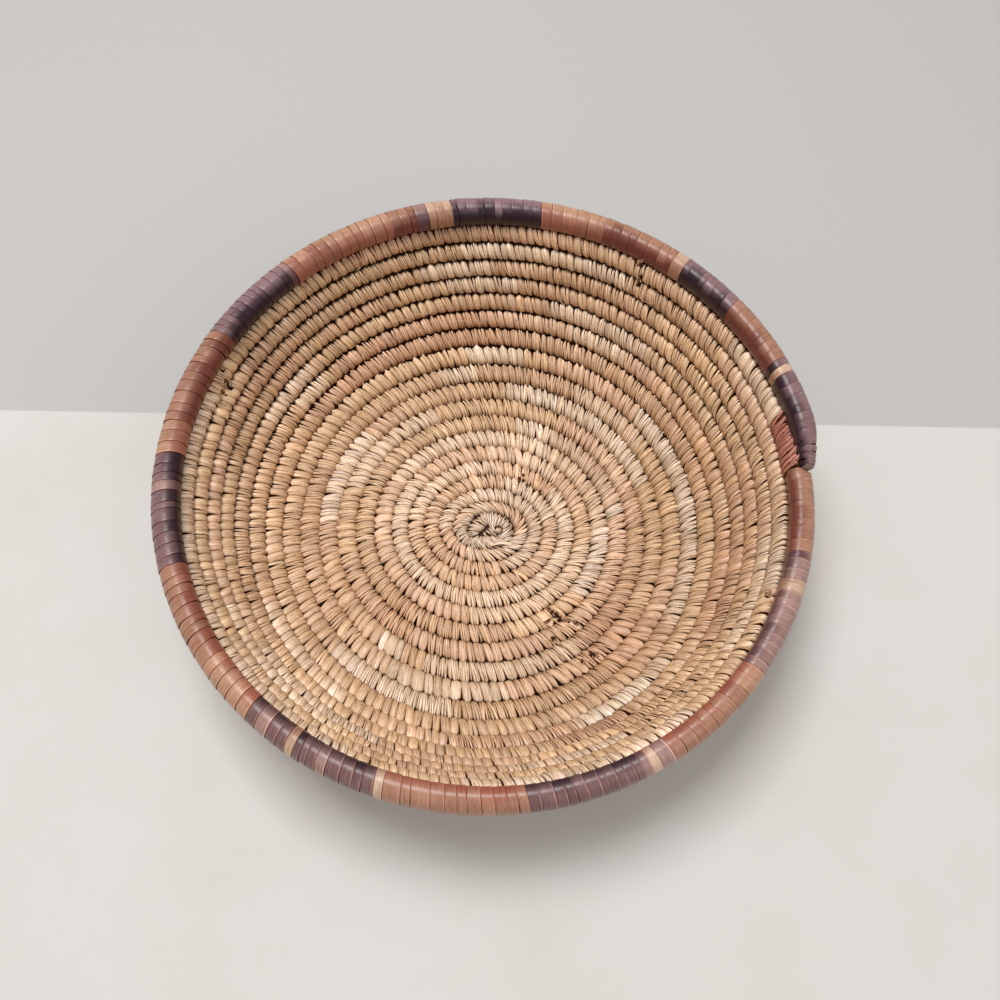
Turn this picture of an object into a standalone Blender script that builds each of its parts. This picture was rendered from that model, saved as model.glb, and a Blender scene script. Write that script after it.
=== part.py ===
"""A shallow round coiled basket with a wrapped rim, at its real size in metres, +Z up.

One wrapped coil starts at a small knot in the middle and winds outward, clockwise seen from above. Its rows make
a flat base, bend up and become a flared wall. The last turn is the rim: a thicker core that is bound over its
whole length with short lengths of dyed strip and tapers at its end, where it lies on the start of its own turn.

Places along the coil are given in turns, counted from the middle, and angles run anticlockwise from +X.
"""

from math import ceil, cos, degrees, floor, pi, radians, sin, tau

import bmesh
import bpy
from mathutils import Vector

# The basket as a whole. The coil climbs one row per turn, so it is widest and highest where it ends.
RIM_REACH = 0.166
HEIGHT = 0.091
FLAT_BASE_RADIUS = 0.069
BEND_LENGTH = 0.098

# The rows of the base and wall. They are finer round the middle.
FIRST_PITCH = 0.0061
FULL_PITCH = 0.0108
TURNS_TO_FULL_PITCH = 12.5
COIL_THICKNESS = 0.0095
ROW_GAP = 0.0006
SIDE_HEIGHT_SHARE = 0.32
FLAT_CUT_SHARE = 0.1

# The middle of the base: the coil starts round an oval knot, and the rows turn round within a few turns.
COIL_START_TURN = 1.25
START_OVAL = 0.0022
OVAL_TURNS = 7.5
OVAL_FADE_TURNS = 6.5
KNOT_HEIGHT = 0.0072

# The rim.
RIM_THICKNESS = 0.0145
RIM_END_ANGLE = radians(1.5)
RIM_START_LEAD = radians(11.0)
RIM_GROWTH_LENGTH = 0.006
TAIL_TAPER_LENGTH = 0.022
TAIL_TIP_THICKNESS = 0.0052
STRIP_THICKNESS = 0.0009
SEAT_GAP = 0.0003

# The strips round the rim, from its start, each with the angle that it covers. The last one covers the rest.
RIM_STRIPS = (
    ("red_brown", 28.0),
    ("purple", 5.5),
    ("tan", 2.5),
    ("purple", 15.5),
    ("red_brown", 20.5),
    ("purple", 2.5),
    ("tan", 1.5),
    ("purple", 20.5),
    ("red_brown", 23.0),
    ("tan", 1.5),
    ("purple", 14.0),
    ("tan", 1.5),
    ("purple", 8.0),
    ("red_brown", 29.0),
    ("purple", 21.5),
    ("red_brown", 26.0),
    ("purple", 19.0),
    ("red_brown", 27.5),
    ("purple", 2.5),
    ("tan", 5.0),
    ("purple", 18.0),
    ("red_brown", 28.5),
    ("tan", 2.5),
    ("purple", 12.5),
    ("red_brown", 14.0),
    ("purple", 1.5),
    ("tan", 1.5),
    ("purple", None),
)

# How finely the shapes are cut.
STATIONS_PER_TURN = 24
RIM_STEP_ANGLE = radians(6.0)
RIM_SIDES = 8
PROFILE_STEP = 0.0005
STEEPEST_WALL = radians(88.0)
HALVINGS = 40

# The pillow shape of the knot: how high each ring lies, and how wide it is.
KNOT_RING_SHARES = ((0.0, 0.9), (0.25, 1.0), (0.6, 0.97), (0.85, 0.8), (1.0, 0.45))

COLOURS = {
    "straw": (0.50, 0.31, 0.15),
    "core": (0.42, 0.30, 0.14),
    "red_brown": (0.30, 0.12, 0.07),
    "purple": (0.095, 0.050, 0.065),
    "tan": (0.48, 0.29, 0.17),
}
STRAW_ROUGHNESS = 0.6
STRIP_ROUGHNESS = 0.35


def smooth(share):
    """An even start and stop between 0 and 1."""
    share = min(max(share, 0.0), 1.0)
    return share * share * (3.0 - 2.0 * share)


def clear_scene():
    for obj in list(bpy.data.objects):
        bpy.data.objects.remove(obj)


def material(name):
    """A plain material for one kind of plant strip."""
    made = bpy.data.materials.get(name)
    if made:
        return made
    made = bpy.data.materials.new(name)
    made.use_nodes = True
    shader = made.node_tree.nodes["Principled BSDF"]
    shader.inputs["Base Color"].default_value = (*COLOURS[name], 1.0)
    shader.inputs["Roughness"].default_value = STRAW_ROUGHNESS if name in ("straw", "core") else STRIP_ROUGHNESS
    shader.inputs["Metallic"].default_value = 0.0
    return made


class Profile:
    """The line that the middles of the rows lie on, in a plane through the basket's axis.

    It is flat to the edge of the base, bends up evenly over the bend's length and then stays straight.
    """

    def __init__(self, wall_slope):
        self.wall_slope = wall_slope
        self.reaches = [0.0]
        self.heights = [0.0]
        last_reach = RIM_REACH - RIM_THICKNESS / 2
        while self.reaches[-1] < last_reach:
            slope = self.slope_at((len(self.reaches) - 0.5) * PROFILE_STEP)
            self.reaches.append(self.reaches[-1] + PROFILE_STEP * cos(slope))
            self.heights.append(self.heights[-1] + PROFILE_STEP * sin(slope))
        over = (self.reaches[-1] - last_reach) / (self.reaches[-1] - self.reaches[-2])
        self.length = (len(self.reaches) - 1 - over) * PROFILE_STEP

    def slope_at(self, run):
        return self.wall_slope * smooth((run - FLAT_BASE_RADIUS) / BEND_LENGTH)

    def bend_at(self, run):
        """How fast the slope changes, in radians for each metre of the profile."""
        return (self.slope_at(run + PROFILE_STEP) - self.slope_at(run - PROFILE_STEP)) / (2 * PROFILE_STEP)

    def point_at(self, run):
        """How far out and how high the profile is after this much of its length."""
        place = min(max(run / PROFILE_STEP, 0.0), len(self.reaches) - 1.0)
        before = min(int(place), len(self.reaches) - 2)
        share = place - before
        reach = self.reaches[before] + share * (self.reaches[before + 1] - self.reaches[before])
        height = self.heights[before] + share * (self.heights[before + 1] - self.heights[before])
        beyond = max(run - (len(self.reaches) - 1) * PROFILE_STEP, 0.0)
        return reach + beyond * cos(self.wall_slope), height + beyond * sin(self.wall_slope)


def profile_of_height(rise):
    """The profile whose wall slopes just enough to climb this far by the rim."""
    low = 0.0
    high = STEEPEST_WALL
    for _ in range(HALVINGS):
        middle = (low + high) / 2
        profile = Profile(middle)
        if profile.point_at(profile.length)[1] < rise:
            low = middle
        else:
            high = middle
    return Profile(low)


def run_at(turn):
    """The length of profile that this many turns take up. The pitch grows evenly to its full size."""
    growing = min(turn, TURNS_TO_FULL_PITCH)
    angle = growing / TURNS_TO_FULL_PITCH * pi / 2
    grown = (FULL_PITCH - FIRST_PITCH) * TURNS_TO_FULL_PITCH / (pi / 2) * (1.0 - cos(angle))
    return FIRST_PITCH * growing + grown + FULL_PITCH * (turn - growing)


def turn_at(run):
    """The number of turns that take up this length of profile."""
    low = 0.0
    high = run / FIRST_PITCH
    for _ in range(HALVINGS):
        middle = (low + high) / 2
        if run_at(middle) < run:
            low = middle
        else:
            high = middle
    return low


def groove_run(turn):
    """Where the coil's inner side lies on the profile: halfway to the row of one turn before."""
    return (run_at(turn - 1.0) + run_at(turn)) / 2


SEAT = COIL_THICKNESS * (0.5 - FLAT_CUT_SHARE)
SIDE_HEIGHT = COIL_THICKNESS * SIDE_HEIGHT_SHARE / 2
PROFILE = profile_of_height(HEIGHT - RIM_THICKNESS / 2 - SEAT)
END_TURN = turn_at(PROFILE.length - (RIM_THICKNESS + ROW_GAP - FULL_PITCH) / 2)
RIM_START_TURN = END_TURN - 1.0 - RIM_START_LEAD / tau


def turns_for(length, turn):
    """The part of a turn that this length along the coil takes up at a given turn."""
    return length / (tau * PROFILE.point_at(run_at(turn))[0])


def angle_at(turn):
    return RIM_END_ANGLE + tau * (END_TURN - turn)


def point_of(turn, run, lift=0.0):
    """A point in the plane where the coil is after this many turns, on the profile or lifted off it."""
    reach, height = PROFILE.point_at(run)
    slope = PROFILE.slope_at(run)
    reach -= lift * sin(slope)
    height += lift * cos(slope)
    oval = START_OVAL * (1.0 - smooth((turn - OVAL_TURNS) / OVAL_FADE_TURNS))
    angle = angle_at(turn)
    return Vector(((reach + oval) * cos(angle), (reach - oval) * sin(angle), SEAT + height))


def clear_half_width(turn):
    """Half the width between two rows' middles, the outer one at this turn, less the gap.

    The rows are faceted and the first ones are oval, so they come nearer than their middles do. Where the wall
    bends, they come nearest at the top of their sides.
    """
    inner_run = run_at(turn - 1.0)
    outer_run = run_at(turn)
    step = 1.0 / STATIONS_PER_TURN
    here = point_of(turn - 0.5, (inner_run + outer_run) / 2)
    ahead = point_of(turn - 0.5 + step, (run_at(turn - 1.0 + step) + run_at(turn + step)) / 2)
    along = (ahead - here).normalized()
    across = point_of(turn, outer_run) - point_of(turn - 1.0, inner_run)
    along_row = point_of(turn + step, run_at(turn + step)) - point_of(turn, outer_run)
    apart = across.cross(along_row.normalized()).length
    apart = min(apart, across.cross(-along).length)
    bend = PROFILE.bend_at((inner_run + outer_run) / 2)
    return (apart * cos(pi / STATIONS_PER_TURN) * (1.0 - SIDE_HEIGHT * bend) - ROW_GAP) / 2


def row_section(turn):
    """The seven-sided outline of a row: a ridge inside, flat sides to its neighbours and a flat on the outside."""
    run = run_at(turn)
    inner = clear_half_width(turn)
    outer = clear_half_width(turn + 1.0)
    narrowing = (inner + outer + ROW_GAP) / FULL_PITCH
    ridge = SIDE_HEIGHT + (COIL_THICKNESS / 2 - SIDE_HEIGHT) * min(narrowing, 1.0)
    flat_share = FLAT_CUT_SHARE * COIL_THICKNESS / (COIL_THICKNESS / 2 - SIDE_HEIGHT)
    outline = (
        (0.0, ridge),
        (outer, SIDE_HEIGHT),
        (outer, -SIDE_HEIGHT),
        (outer * flat_share, -SEAT),
        (-inner * flat_share, -SEAT),
        (-inner, -SIDE_HEIGHT),
        (-inner, SIDE_HEIGHT),
    )
    return [placed(turn, run, along, lift) for along, lift in outline]


def placed(turn, run, along, lift):
    """A point beside the middle of a row: so far along the profile's own direction there, and so far off it."""
    slope = PROFILE.slope_at(run)
    angle = angle_at(turn)
    outward = Vector((cos(slope) * cos(angle), cos(slope) * sin(angle), sin(slope)))
    inward_up = Vector((-sin(slope) * cos(angle), -sin(slope) * sin(angle), cos(slope)))
    return point_of(turn, run) + along * outward + lift * inward_up


def rim_half_thickness(turn):
    """Half the rim's thickness: a row's at its start, full beyond its own tail, and thin at the tail's tip."""
    row = (run_at(turn) - run_at(turn - 1.0) - ROW_GAP) / 2
    full = RIM_THICKNESS / 2
    grown = smooth((turn - END_TURN + 1.0) / turns_for(RIM_GROWTH_LENGTH, turn))
    half = row + (full - row) * grown
    tapered = smooth((END_TURN - turn) / turns_for(TAIL_TAPER_LENGTH, turn))
    tip = TAIL_TIP_THICKNESS / 2
    return tip + (half - tip) * tapered


def rim_section(turn, inset=0.0):
    """An eight-sided outline of the rim, drawn in by an inset. The rim rests on the row of one turn before."""
    half = rim_half_thickness(turn)
    run = groove_run(turn) + ROW_GAP / 2 + half
    corner = (half - inset) / cos(pi / RIM_SIDES)
    points = []
    for side in range(RIM_SIDES):
        round_angle = -(side + 0.5) * tau / RIM_SIDES
        points.append(placed(turn, run, corner * cos(round_angle), corner * sin(round_angle)))
    return points


def stations(first, last, step):
    """Places from one to the other, evenly spaced and no further apart than a step."""
    count = max(ceil((last - first) / step), 1)
    return [first + (last - first) * index / count for index in range(count + 1)]


def add_rings(mesh, outlines):
    return [[mesh.verts.new(point) for point in outline] for outline in outlines]


def join_rings(mesh, first, second):
    for index in range(len(first)):
        after = (index + 1) % len(first)
        mesh.faces.new((first[index], first[after], second[after], second[index]))


def loft(mesh, rings):
    for first, second in zip(rings, rings[1:]):
        join_rings(mesh, first, second)


def finished(name, mesh, colour):
    """Turns the faces outward and makes the object."""
    bmesh.ops.recalc_face_normals(mesh, faces=mesh.faces)
    data = bpy.data.meshes.new(name)
    mesh.to_mesh(data)
    mesh.free()
    data.shade_smooth()
    data.set_sharp_from_angle(angle=radians(35.0))
    data.materials.append(material(colour))
    obj = bpy.data.objects.new(name, data)
    bpy.context.scene.collection.objects.link(obj)
    return obj


def body_turns():
    """The places of the body coil's sections. Those of each row lie in line with those of its neighbours."""
    last = RIM_START_TURN - turns_for(SEAT_GAP, RIM_START_TURN)
    count = floor((last - COIL_START_TURN) * STATIONS_PER_TURN)
    return [last - (count - index) / STATIONS_PER_TURN for index in range(count + 1)]


def make_body_coil():
    """The wrapped coil of the base and wall, as one unbroken tube."""
    mesh = bmesh.new()
    sections = [row_section(turn) for turn in body_turns()]
    rings = add_rings(mesh, sections)
    loft(mesh, rings)
    mesh.faces.new(rings[0])
    mesh.faces.new(rings[-1])
    print_least_gap(sections)
    return finished("body_coil", mesh, "straw")


def print_least_gap(sections):
    """Measures the gap from each corner of a row's outer side to the next row's inner side."""
    least = None
    for index in range(1, len(sections) - STATIONS_PER_TURN - 1):
        beyond = index + STATIONS_PER_TURN
        for outer_corner, inner_corner in ((1, 6), (2, 5)):
            point = sections[index][outer_corner]
            for start in (beyond - 1, beyond):
                first = sections[start][inner_corner]
                second = sections[start + 1][inner_corner]
                run = second - first
                share = min(max((point - first).dot(run) / run.length_squared, 0.0), 1.0)
                gap = (first + share * run - point).length
                least = gap if least is None else min(least, gap)
    print(f"least gap of the coil to itself: {least * 1000:.3f} mm")


def make_start_knot():
    """The knot that the coil starts from: a pad that fills the first turn, with a step that meets the coil's end."""
    first = body_turns()[0]
    step_turn = first + 1.0 - turns_for(ROW_GAP, first)
    outline = []
    for turn in stations(first, step_turn, 1.0 / STATIONS_PER_TURN):
        outline.append(point_of(turn, groove_run(turn) - ROW_GAP - SEAT_GAP))
    mesh = bmesh.new()
    rings = []
    for height_share, width_share in KNOT_RING_SHARES:
        height = KNOT_HEIGHT * height_share
        rings.append([mesh.verts.new((p.x * width_share, p.y * width_share, height)) for p in outline])
    loft(mesh, rings)
    mesh.faces.new(rings[0])
    mesh.faces.new(rings[-1])
    return finished("start_knot", mesh, "straw")


def strip_spans():
    """Each strip's colour, and the places along the coil that both it and the core under it are cut at."""
    spans = []
    start = RIM_START_TURN
    for colour, covered in RIM_STRIPS:
        end = END_TURN if covered is None else start + radians(covered) / tau
        spans.append((colour, stations(start, end, RIM_STEP_ANGLE / tau)))
        start = end
    return spans


def make_rim_core(spans):
    """The bundle inside the rim. It starts where the body coil ends and stops short of the last strip's closed tip."""
    turns = [spans[0][1][0]]
    for _, places in spans:
        turns += places[1:]
    turns[-1] -= turns_for(STRIP_THICKNESS + SEAT_GAP, END_TURN)
    mesh = bmesh.new()
    rings = add_rings(mesh, [rim_section(turn, STRIP_THICKNESS + SEAT_GAP) for turn in turns])
    loft(mesh, rings)
    mesh.faces.new(rings[0])
    mesh.faces.new(rings[-1])
    return finished("rim_core", mesh, "core")


def make_rim_strip(name, colour, turns, closed):
    """A length of strip wound round the rim's core: a sleeve, or for the last one a cup over the core's tip."""
    mesh = bmesh.new()
    half_gap = turns_for(SEAT_GAP, END_TURN) / 2
    outer_turns = [turns[0] + half_gap, *turns[1:-1], turns[-1] if closed else turns[-1] - half_gap]
    bore_turns = list(outer_turns)
    if closed:
        bore_turns[-1] -= turns_for(STRIP_THICKNESS, END_TURN)
    outer = add_rings(mesh, [rim_section(turn) for turn in outer_turns])
    bore = add_rings(mesh, [rim_section(turn, STRIP_THICKNESS) for turn in bore_turns])
    loft(mesh, outer)
    loft(mesh, bore)
    join_rings(mesh, outer[0], bore[0])
    if closed:
        mesh.faces.new(outer[-1])
        mesh.faces.new(bore[-1])
    else:
        join_rings(mesh, outer[-1], bore[-1])
    return finished(name, mesh, colour)


def make_rim_strips(spans):
    for number, (colour, turns) in enumerate(spans, start=1):
        make_rim_strip(f"rim_strip_{number:02d}_{colour}", colour, turns, number == len(spans))


def main():
    clear_scene()
    print(f"{END_TURN:.2f} turns, wall slope {degrees(PROFILE.wall_slope):.1f} degrees")
    make_start_knot()
    make_body_coil()
    spans = strip_spans()
    make_rim_core(spans)
    make_rim_strips(spans)


main()
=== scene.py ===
from math import cos, pi, radians, sin, tan, tau

import bmesh
import bpy
import numpy as np
from mathutils import Matrix, Vector


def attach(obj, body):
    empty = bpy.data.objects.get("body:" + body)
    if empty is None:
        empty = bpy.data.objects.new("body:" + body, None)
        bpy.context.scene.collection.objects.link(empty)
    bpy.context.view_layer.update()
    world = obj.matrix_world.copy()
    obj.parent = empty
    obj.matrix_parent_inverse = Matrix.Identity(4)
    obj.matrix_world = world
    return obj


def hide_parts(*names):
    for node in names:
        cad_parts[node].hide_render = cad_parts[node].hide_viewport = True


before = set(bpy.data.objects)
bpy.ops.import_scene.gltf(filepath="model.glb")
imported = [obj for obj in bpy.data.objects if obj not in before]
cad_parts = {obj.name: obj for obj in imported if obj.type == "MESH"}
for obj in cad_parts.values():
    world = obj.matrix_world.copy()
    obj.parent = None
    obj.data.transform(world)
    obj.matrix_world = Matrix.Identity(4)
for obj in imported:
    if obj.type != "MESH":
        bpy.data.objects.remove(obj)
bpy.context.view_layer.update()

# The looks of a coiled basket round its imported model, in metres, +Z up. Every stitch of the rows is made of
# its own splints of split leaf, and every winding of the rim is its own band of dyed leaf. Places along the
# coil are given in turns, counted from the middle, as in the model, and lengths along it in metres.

MM = 0.001

# The basket's own measures, the same as the model's.
RIM_REACH = 0.166
HEIGHT = 0.091
FLAT_BASE_RADIUS = 0.069
BEND_LENGTH = 0.098
FIRST_PITCH = 0.0061
FULL_PITCH = 0.0108
TURNS_TO_FULL_PITCH = 12.5
COIL_THICKNESS = 0.0095
ROW_GAP = 0.0006
SIDE_HEIGHT_SHARE = 0.32
FLAT_CUT_SHARE = 0.1
COIL_START_TURN = 1.25
START_OVAL = 0.0022
OVAL_TURNS = 7.5
OVAL_FADE_TURNS = 6.5
KNOT_HEIGHT = 0.0072
RIM_THICKNESS = 0.0145
RIM_END_ANGLE = radians(1.5)
RIM_START_LEAD = radians(11.0)
PROFILE_STEP = 0.0005
STEEPEST_WALL = radians(88.0)
HALVINGS = 40
OVAL_STEPS = 3
# How soon the rim is full beyond its own tail, and how the tail thins out. The model's own differ a little.
RIM_GROWTH_LENGTH = 0.0012
TAIL_TAPER_LENGTH = 0.026
TAIL_TIP_THICKNESS = 0.0062

# The strips round the rim, from its start: each one's dye and the angle in degrees that it covers.
RIM_STRIPS = (
    ("red_brown", 28.0),
    ("purple", 5.5),
    ("tan", 2.5),
    ("purple", 15.5),
    ("red_brown", 20.5),
    ("purple", 2.5),
    ("tan", 1.5),
    ("purple", 20.5),
    ("red_brown", 23.0),
    ("tan", 1.5),
    ("purple", 14.0),
    ("tan", 1.5),
    ("purple", 8.0),
    ("red_brown", 29.0),
    ("purple", 21.5),
    ("red_brown", 26.0),
    ("purple", 19.0),
    ("red_brown", 27.5),
    ("purple", 2.5),
    ("tan", 5.0),
    ("purple", 18.0),
    ("red_brown", 28.5),
    ("tan", 2.5),
    ("purple", 12.5),
    ("red_brown", 14.0),
    ("purple", 1.5),
    ("tan", 1.5),
    ("purple", None),
)


def linear(channel):
    """A colour channel from 0 to 255, as seen, made a share of light."""
    share = channel / 255
    return share / 12.92 if share <= 0.04045 else ((share + 0.055) / 1.055) ** 2.4


def paint(red, green, blue):
    """A tone as the eye sees it, each channel from 0 to 255."""
    return (linear(red), linear(green), linear(blue))


# The natural leaf that the rows are sewn with, and how often each of its tones is met on base and wall.
LEAF_TONES = {
    "cream": paint(253, 234, 210),
    "pale_straw": paint(249, 222, 193),
    "golden": paint(236, 197, 154),
    "tan": paint(227, 185, 147),
    "pinkish": paint(233, 191, 158),
    "terracotta": paint(214, 167, 133),
}
BASE_TONE_SHARES = {
    "cream": 0.12,
    "pale_straw": 0.36,
    "golden": 0.1,
    "tan": 0.18,
    "pinkish": 0.22,
    "terracotta": 0.02,
}
WALL_TONE_SHARES = {
    "cream": 0.02,
    "pale_straw": 0.12,
    "golden": 0.36,
    "tan": 0.32,
    "pinkish": 0.12,
    "terracotta": 0.06,
}
# Where the leaves start to be those of the wall, and over how many turns they change.
WALL_LEAF_TURN = 5.0
WALL_LEAF_TURNS = 9.0
# How much of the difference between one leaf and the usual one is kept.
LEAF_SPREAD_SHARE = 0.6
# How much darker the leaf of the wall is than its tone says.
WALL_DUSK = 0.15
# How much of its own tone a leaf has that stands out in the photo.
NOTED_SHARE = 0.5
# The leaves that stand out: the row, counted from the middle, the angles that they cover in degrees, and
# their tone.
NOTED_LEAVES = (
    (4, 60, 138, "cream"),
    (5, 10, 80, "cream"),
    (6, 0, 38, "cream"),
    (2, 140, 182, "pinkish"),
    (2, 200, 360, "pale_straw"),
    (3, 88, 138, "pinkish"),
    (3, 25, 88, "tan"),
    (3, 0, 25, "pinkish"),
    (3, 300, 345, "cream"),
    (3, 250, 300, "pale_straw"),
    (3, 222, 250, "pinkish"),
    (6, 40, 58, "pinkish"),
    (7, 40, 92, "pale_straw"),
    (7, 262, 350, "pale_straw"),
    (8, 0, 60, "tan"),
    (8, 215, 235, "terracotta"),
    (9, 15, 60, "terracotta"),
    (9, 75, 138, "pale_straw"),
    (9, 222, 240, "terracotta"),
    (10, 0, 60, "pinkish"),
    (10, 95, 138, "pale_straw"),
    (10, 140, 180, "cream"),
    (10, 180, 215, "tan"),
    (10, 230, 240, "cream"),
    (10, 305, 330, "terracotta"),
    (11, 65, 76, "cream"),
    (11, 155, 240, "tan"),
    (11, 303, 332, "terracotta"),
    (12, 30, 60, "pale_straw"),
    (12, 95, 108, "cream"),
    (12, 165, 212, "tan"),
    (12, 222, 262, "cream"),
    (12, 302, 328, "terracotta"),
    (13, 80, 98, "cream"),
    (13, 98, 138, "terracotta"),
    (13, 152, 190, "tan"),
    (13, 312, 330, "terracotta"),
    (14, 8, 30, "terracotta"),
    (14, 82, 136, "terracotta"),
    (14, 138, 150, "pale_straw"),
    (14, 150, 180, "tan"),
    (14, 205, 236, "pale_straw"),
    (14, 240, 290, "pinkish"),
    (14, 294, 314, "cream"),
    (15, 8, 52, "terracotta"),
    (15, 68, 130, "terracotta"),
    (15, 140, 158, "pale_straw"),
    (15, 215, 236, "golden"),
    (15, 330, 357, "terracotta"),
    (16, 140, 152, "terracotta"),
    (16, 282, 325, "golden"),
    (17, 30, 52, "golden"),
    (17, 115, 135, "terracotta"),
    (17, 205, 240, "pale_straw"),
    (18, 20, 50, "golden"),
    (18, 350, 360, "terracotta"),
)
# A shade is darkest in blue and least dark in red.
WARMTH_POWERS = (0.8, 1.05, 1.4)
# Painted shade: brown painted into the creases, and darker brown into grooves, knot gaps and worn holes.
PAINTED_CREASE_SHADE = paint(74, 31, 10)
PAINTED_DEEP_SHADE = paint(56, 26, 10)
# What is left of red, green and blue where one leaf shades the next.
SHADED_LEAF = (0.58, 0.37, 0.22)

# The dyed leaf of the rim: its tone on the side towards the bowl, and where it has faded on the outer side.
# The deep tones towards the bowl are dark partly from the dye and partly as painted shade.
RIM_TONES = {
    "purple": (paint(39, 15, 29), paint(148, 111, 107)),
    "mauve": (paint(90, 57, 62), paint(165, 130, 122)),
    "red_brown": (paint(110, 55, 43), paint(171, 124, 101)),
    "salmon": (paint(150, 93, 74), paint(191, 145, 118)),
    "tan": (paint(160, 116, 94), paint(209, 175, 150)),
}
# The faded purple of the rim's far side.
FAR_FADED_PURPLE = paint(150, 118, 124)
# The tone that the bowl side of the red-brown strips has in the strong light on the near side.
NEAR_RED = paint(166, 93, 73)
NEAR_RED_SHARE = 0.75
# Where a strip's tone isn't its slot's: from and to in degrees from the start of the rim.
RIM_TONE_CHANGES = (
    (28.0, 33.5, "mauve"),
    (36.0, 51.5, "mauve"),
    (51.5, 56.5, "salmon"),
    (72.0, 74.5, "mauve"),
    (144.5, 155.0, "salmon"),
    (195.0, 202.3, "salmon"),
    (240.0, 262.4, "salmon"),
    (267.5, 270.0, "mauve"),
    (288.4, 290.0, "mauve"),
    (293.0, 307.0, "salmon"),
)


def smooth(share):
    """An even start and stop between 0 and 1."""
    share = np.clip(share, 0.0, 1.0)
    return share * share * (3.0 - 2.0 * share)


class Profile:
    """The line that the middles of the rows lie on: flat, then bending up evenly, then straight."""

    def __init__(self, wall_slope):
        self.wall_slope = wall_slope
        reaches = [0.0]
        heights = [0.0]
        last_reach = RIM_REACH - RIM_THICKNESS / 2
        while reaches[-1] < last_reach:
            slope = float(self.slope_at((len(reaches) - 0.5) * PROFILE_STEP))
            reaches.append(reaches[-1] + PROFILE_STEP * cos(slope))
            heights.append(heights[-1] + PROFILE_STEP * sin(slope))
        over = (reaches[-1] - last_reach) / (reaches[-1] - reaches[-2])
        self.length = (len(reaches) - 1 - over) * PROFILE_STEP
        self.reaches = np.array(reaches)
        self.heights = np.array(heights)
        self.runs = np.arange(len(reaches)) * PROFILE_STEP

    def slope_at(self, run):
        return self.wall_slope * smooth((run - FLAT_BASE_RADIUS) / BEND_LENGTH)

    def point_at(self, run):
        """How far out and how high the profile is after this much of its length."""
        beyond = np.maximum(run - self.runs[-1], 0.0)
        reach = np.interp(run, self.runs, self.reaches) + beyond * cos(self.wall_slope)
        height = np.interp(run, self.runs, self.heights) + beyond * sin(self.wall_slope)
        return reach, height


def profile_of_height(rise):
    """The profile whose wall slopes just enough to climb this far by the rim."""
    low = 0.0
    high = STEEPEST_WALL
    for _ in range(HALVINGS):
        middle = (low + high) / 2
        profile = Profile(middle)
        if profile.point_at(profile.length)[1] < rise:
            low = middle
        else:
            high = middle
    return Profile(low)


def run_at(turn):
    """The length of profile that this many turns take up."""
    growing = np.minimum(turn, TURNS_TO_FULL_PITCH)
    angle = growing / TURNS_TO_FULL_PITCH * pi / 2
    grown = (FULL_PITCH - FIRST_PITCH) * TURNS_TO_FULL_PITCH / (pi / 2) * (1.0 - np.cos(angle))
    return FIRST_PITCH * growing + grown + FULL_PITCH * (turn - growing)


def turn_at(run):
    """The number of turns that take up this length of profile."""
    low = 0.0
    high = run / FIRST_PITCH
    for _ in range(HALVINGS):
        middle = (low + high) / 2
        if run_at(middle) < run:
            low = middle
        else:
            high = middle
    return low


def groove_run(turn):
    """Where the coil's inner side lies on the profile: halfway to the row of one turn before."""
    return (run_at(turn - 1.0) + run_at(turn)) / 2


SEAT = COIL_THICKNESS * (0.5 - FLAT_CUT_SHARE)
SIDE_HEIGHT = COIL_THICKNESS * SIDE_HEIGHT_SHARE / 2
PROFILE = profile_of_height(HEIGHT - RIM_THICKNESS / 2 - SEAT)
END_TURN = turn_at(PROFILE.length - (RIM_THICKNESS + ROW_GAP - FULL_PITCH) / 2)
RIM_START_TURN = END_TURN - 1.0 - RIM_START_LEAD / tau

# The length of the coil up to each of many places, to turn lengths along it into turns and back.
TURN_MARKS = np.linspace(0.0, END_TURN + 0.5, 20000)
MARK_GIRTHS = tau * PROFILE.point_at(run_at(TURN_MARKS))[0]
MARK_STEPS = (MARK_GIRTHS[1:] + MARK_GIRTHS[:-1]) / 2 * np.diff(TURN_MARKS)
LENGTH_MARKS = np.concatenate(([0.0], np.cumsum(MARK_STEPS)))


def length_at(turn):
    return np.interp(turn, TURN_MARKS, LENGTH_MARKS)


def turn_after(length):
    return np.interp(length, LENGTH_MARKS, TURN_MARKS)


def angle_at(turn):
    return RIM_END_ANGLE + tau * (END_TURN - turn)


def placed(turn, run, along, lift):
    """A point beside the profile: so far along its own direction there, and so far off it, inward and up."""
    reach, height = PROFILE.point_at(run)
    slope = PROFILE.slope_at(run)
    oval = START_OVAL * (1.0 - smooth((turn - OVAL_TURNS) / OVAL_FADE_TURNS))
    angle = angle_at(turn)
    out = reach + along * np.cos(slope) - lift * np.sin(slope)
    up = height + along * np.sin(slope) + lift * np.cos(slope)
    return np.stack(((out + oval) * np.cos(angle), (out - oval) * np.sin(angle), SEAT + up), axis=-1)


# The straight hoops that stitches and windings are bent from. Each corner of a section is so far across, as a
# share of the width, and has a radius of its own on the straight hoop, by which it is known again.
HOOP_SPACING = 4.0
SPLINT_SECTION = ((-0.5, 1.0), (-0.3, 1.2), (0.0, 1.3), (0.3, 1.2), (0.5, 1.0))
SPLINT_SIDES = 14
WINDING_SECTION = (
    (-0.5, 1.3),
    (-0.45, 1.4),
    (-0.36, 1.35),
    (0.05, 1.2),
    (0.42, 1.1),
    (0.5, 1.0),
    (-0.48, 0.9),
)
WINDING_SIDES = 20
# A corner nearer to its hoop's seam than this share of a turn lies on it.
SEAM_SHARE = 1e-9


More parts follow.
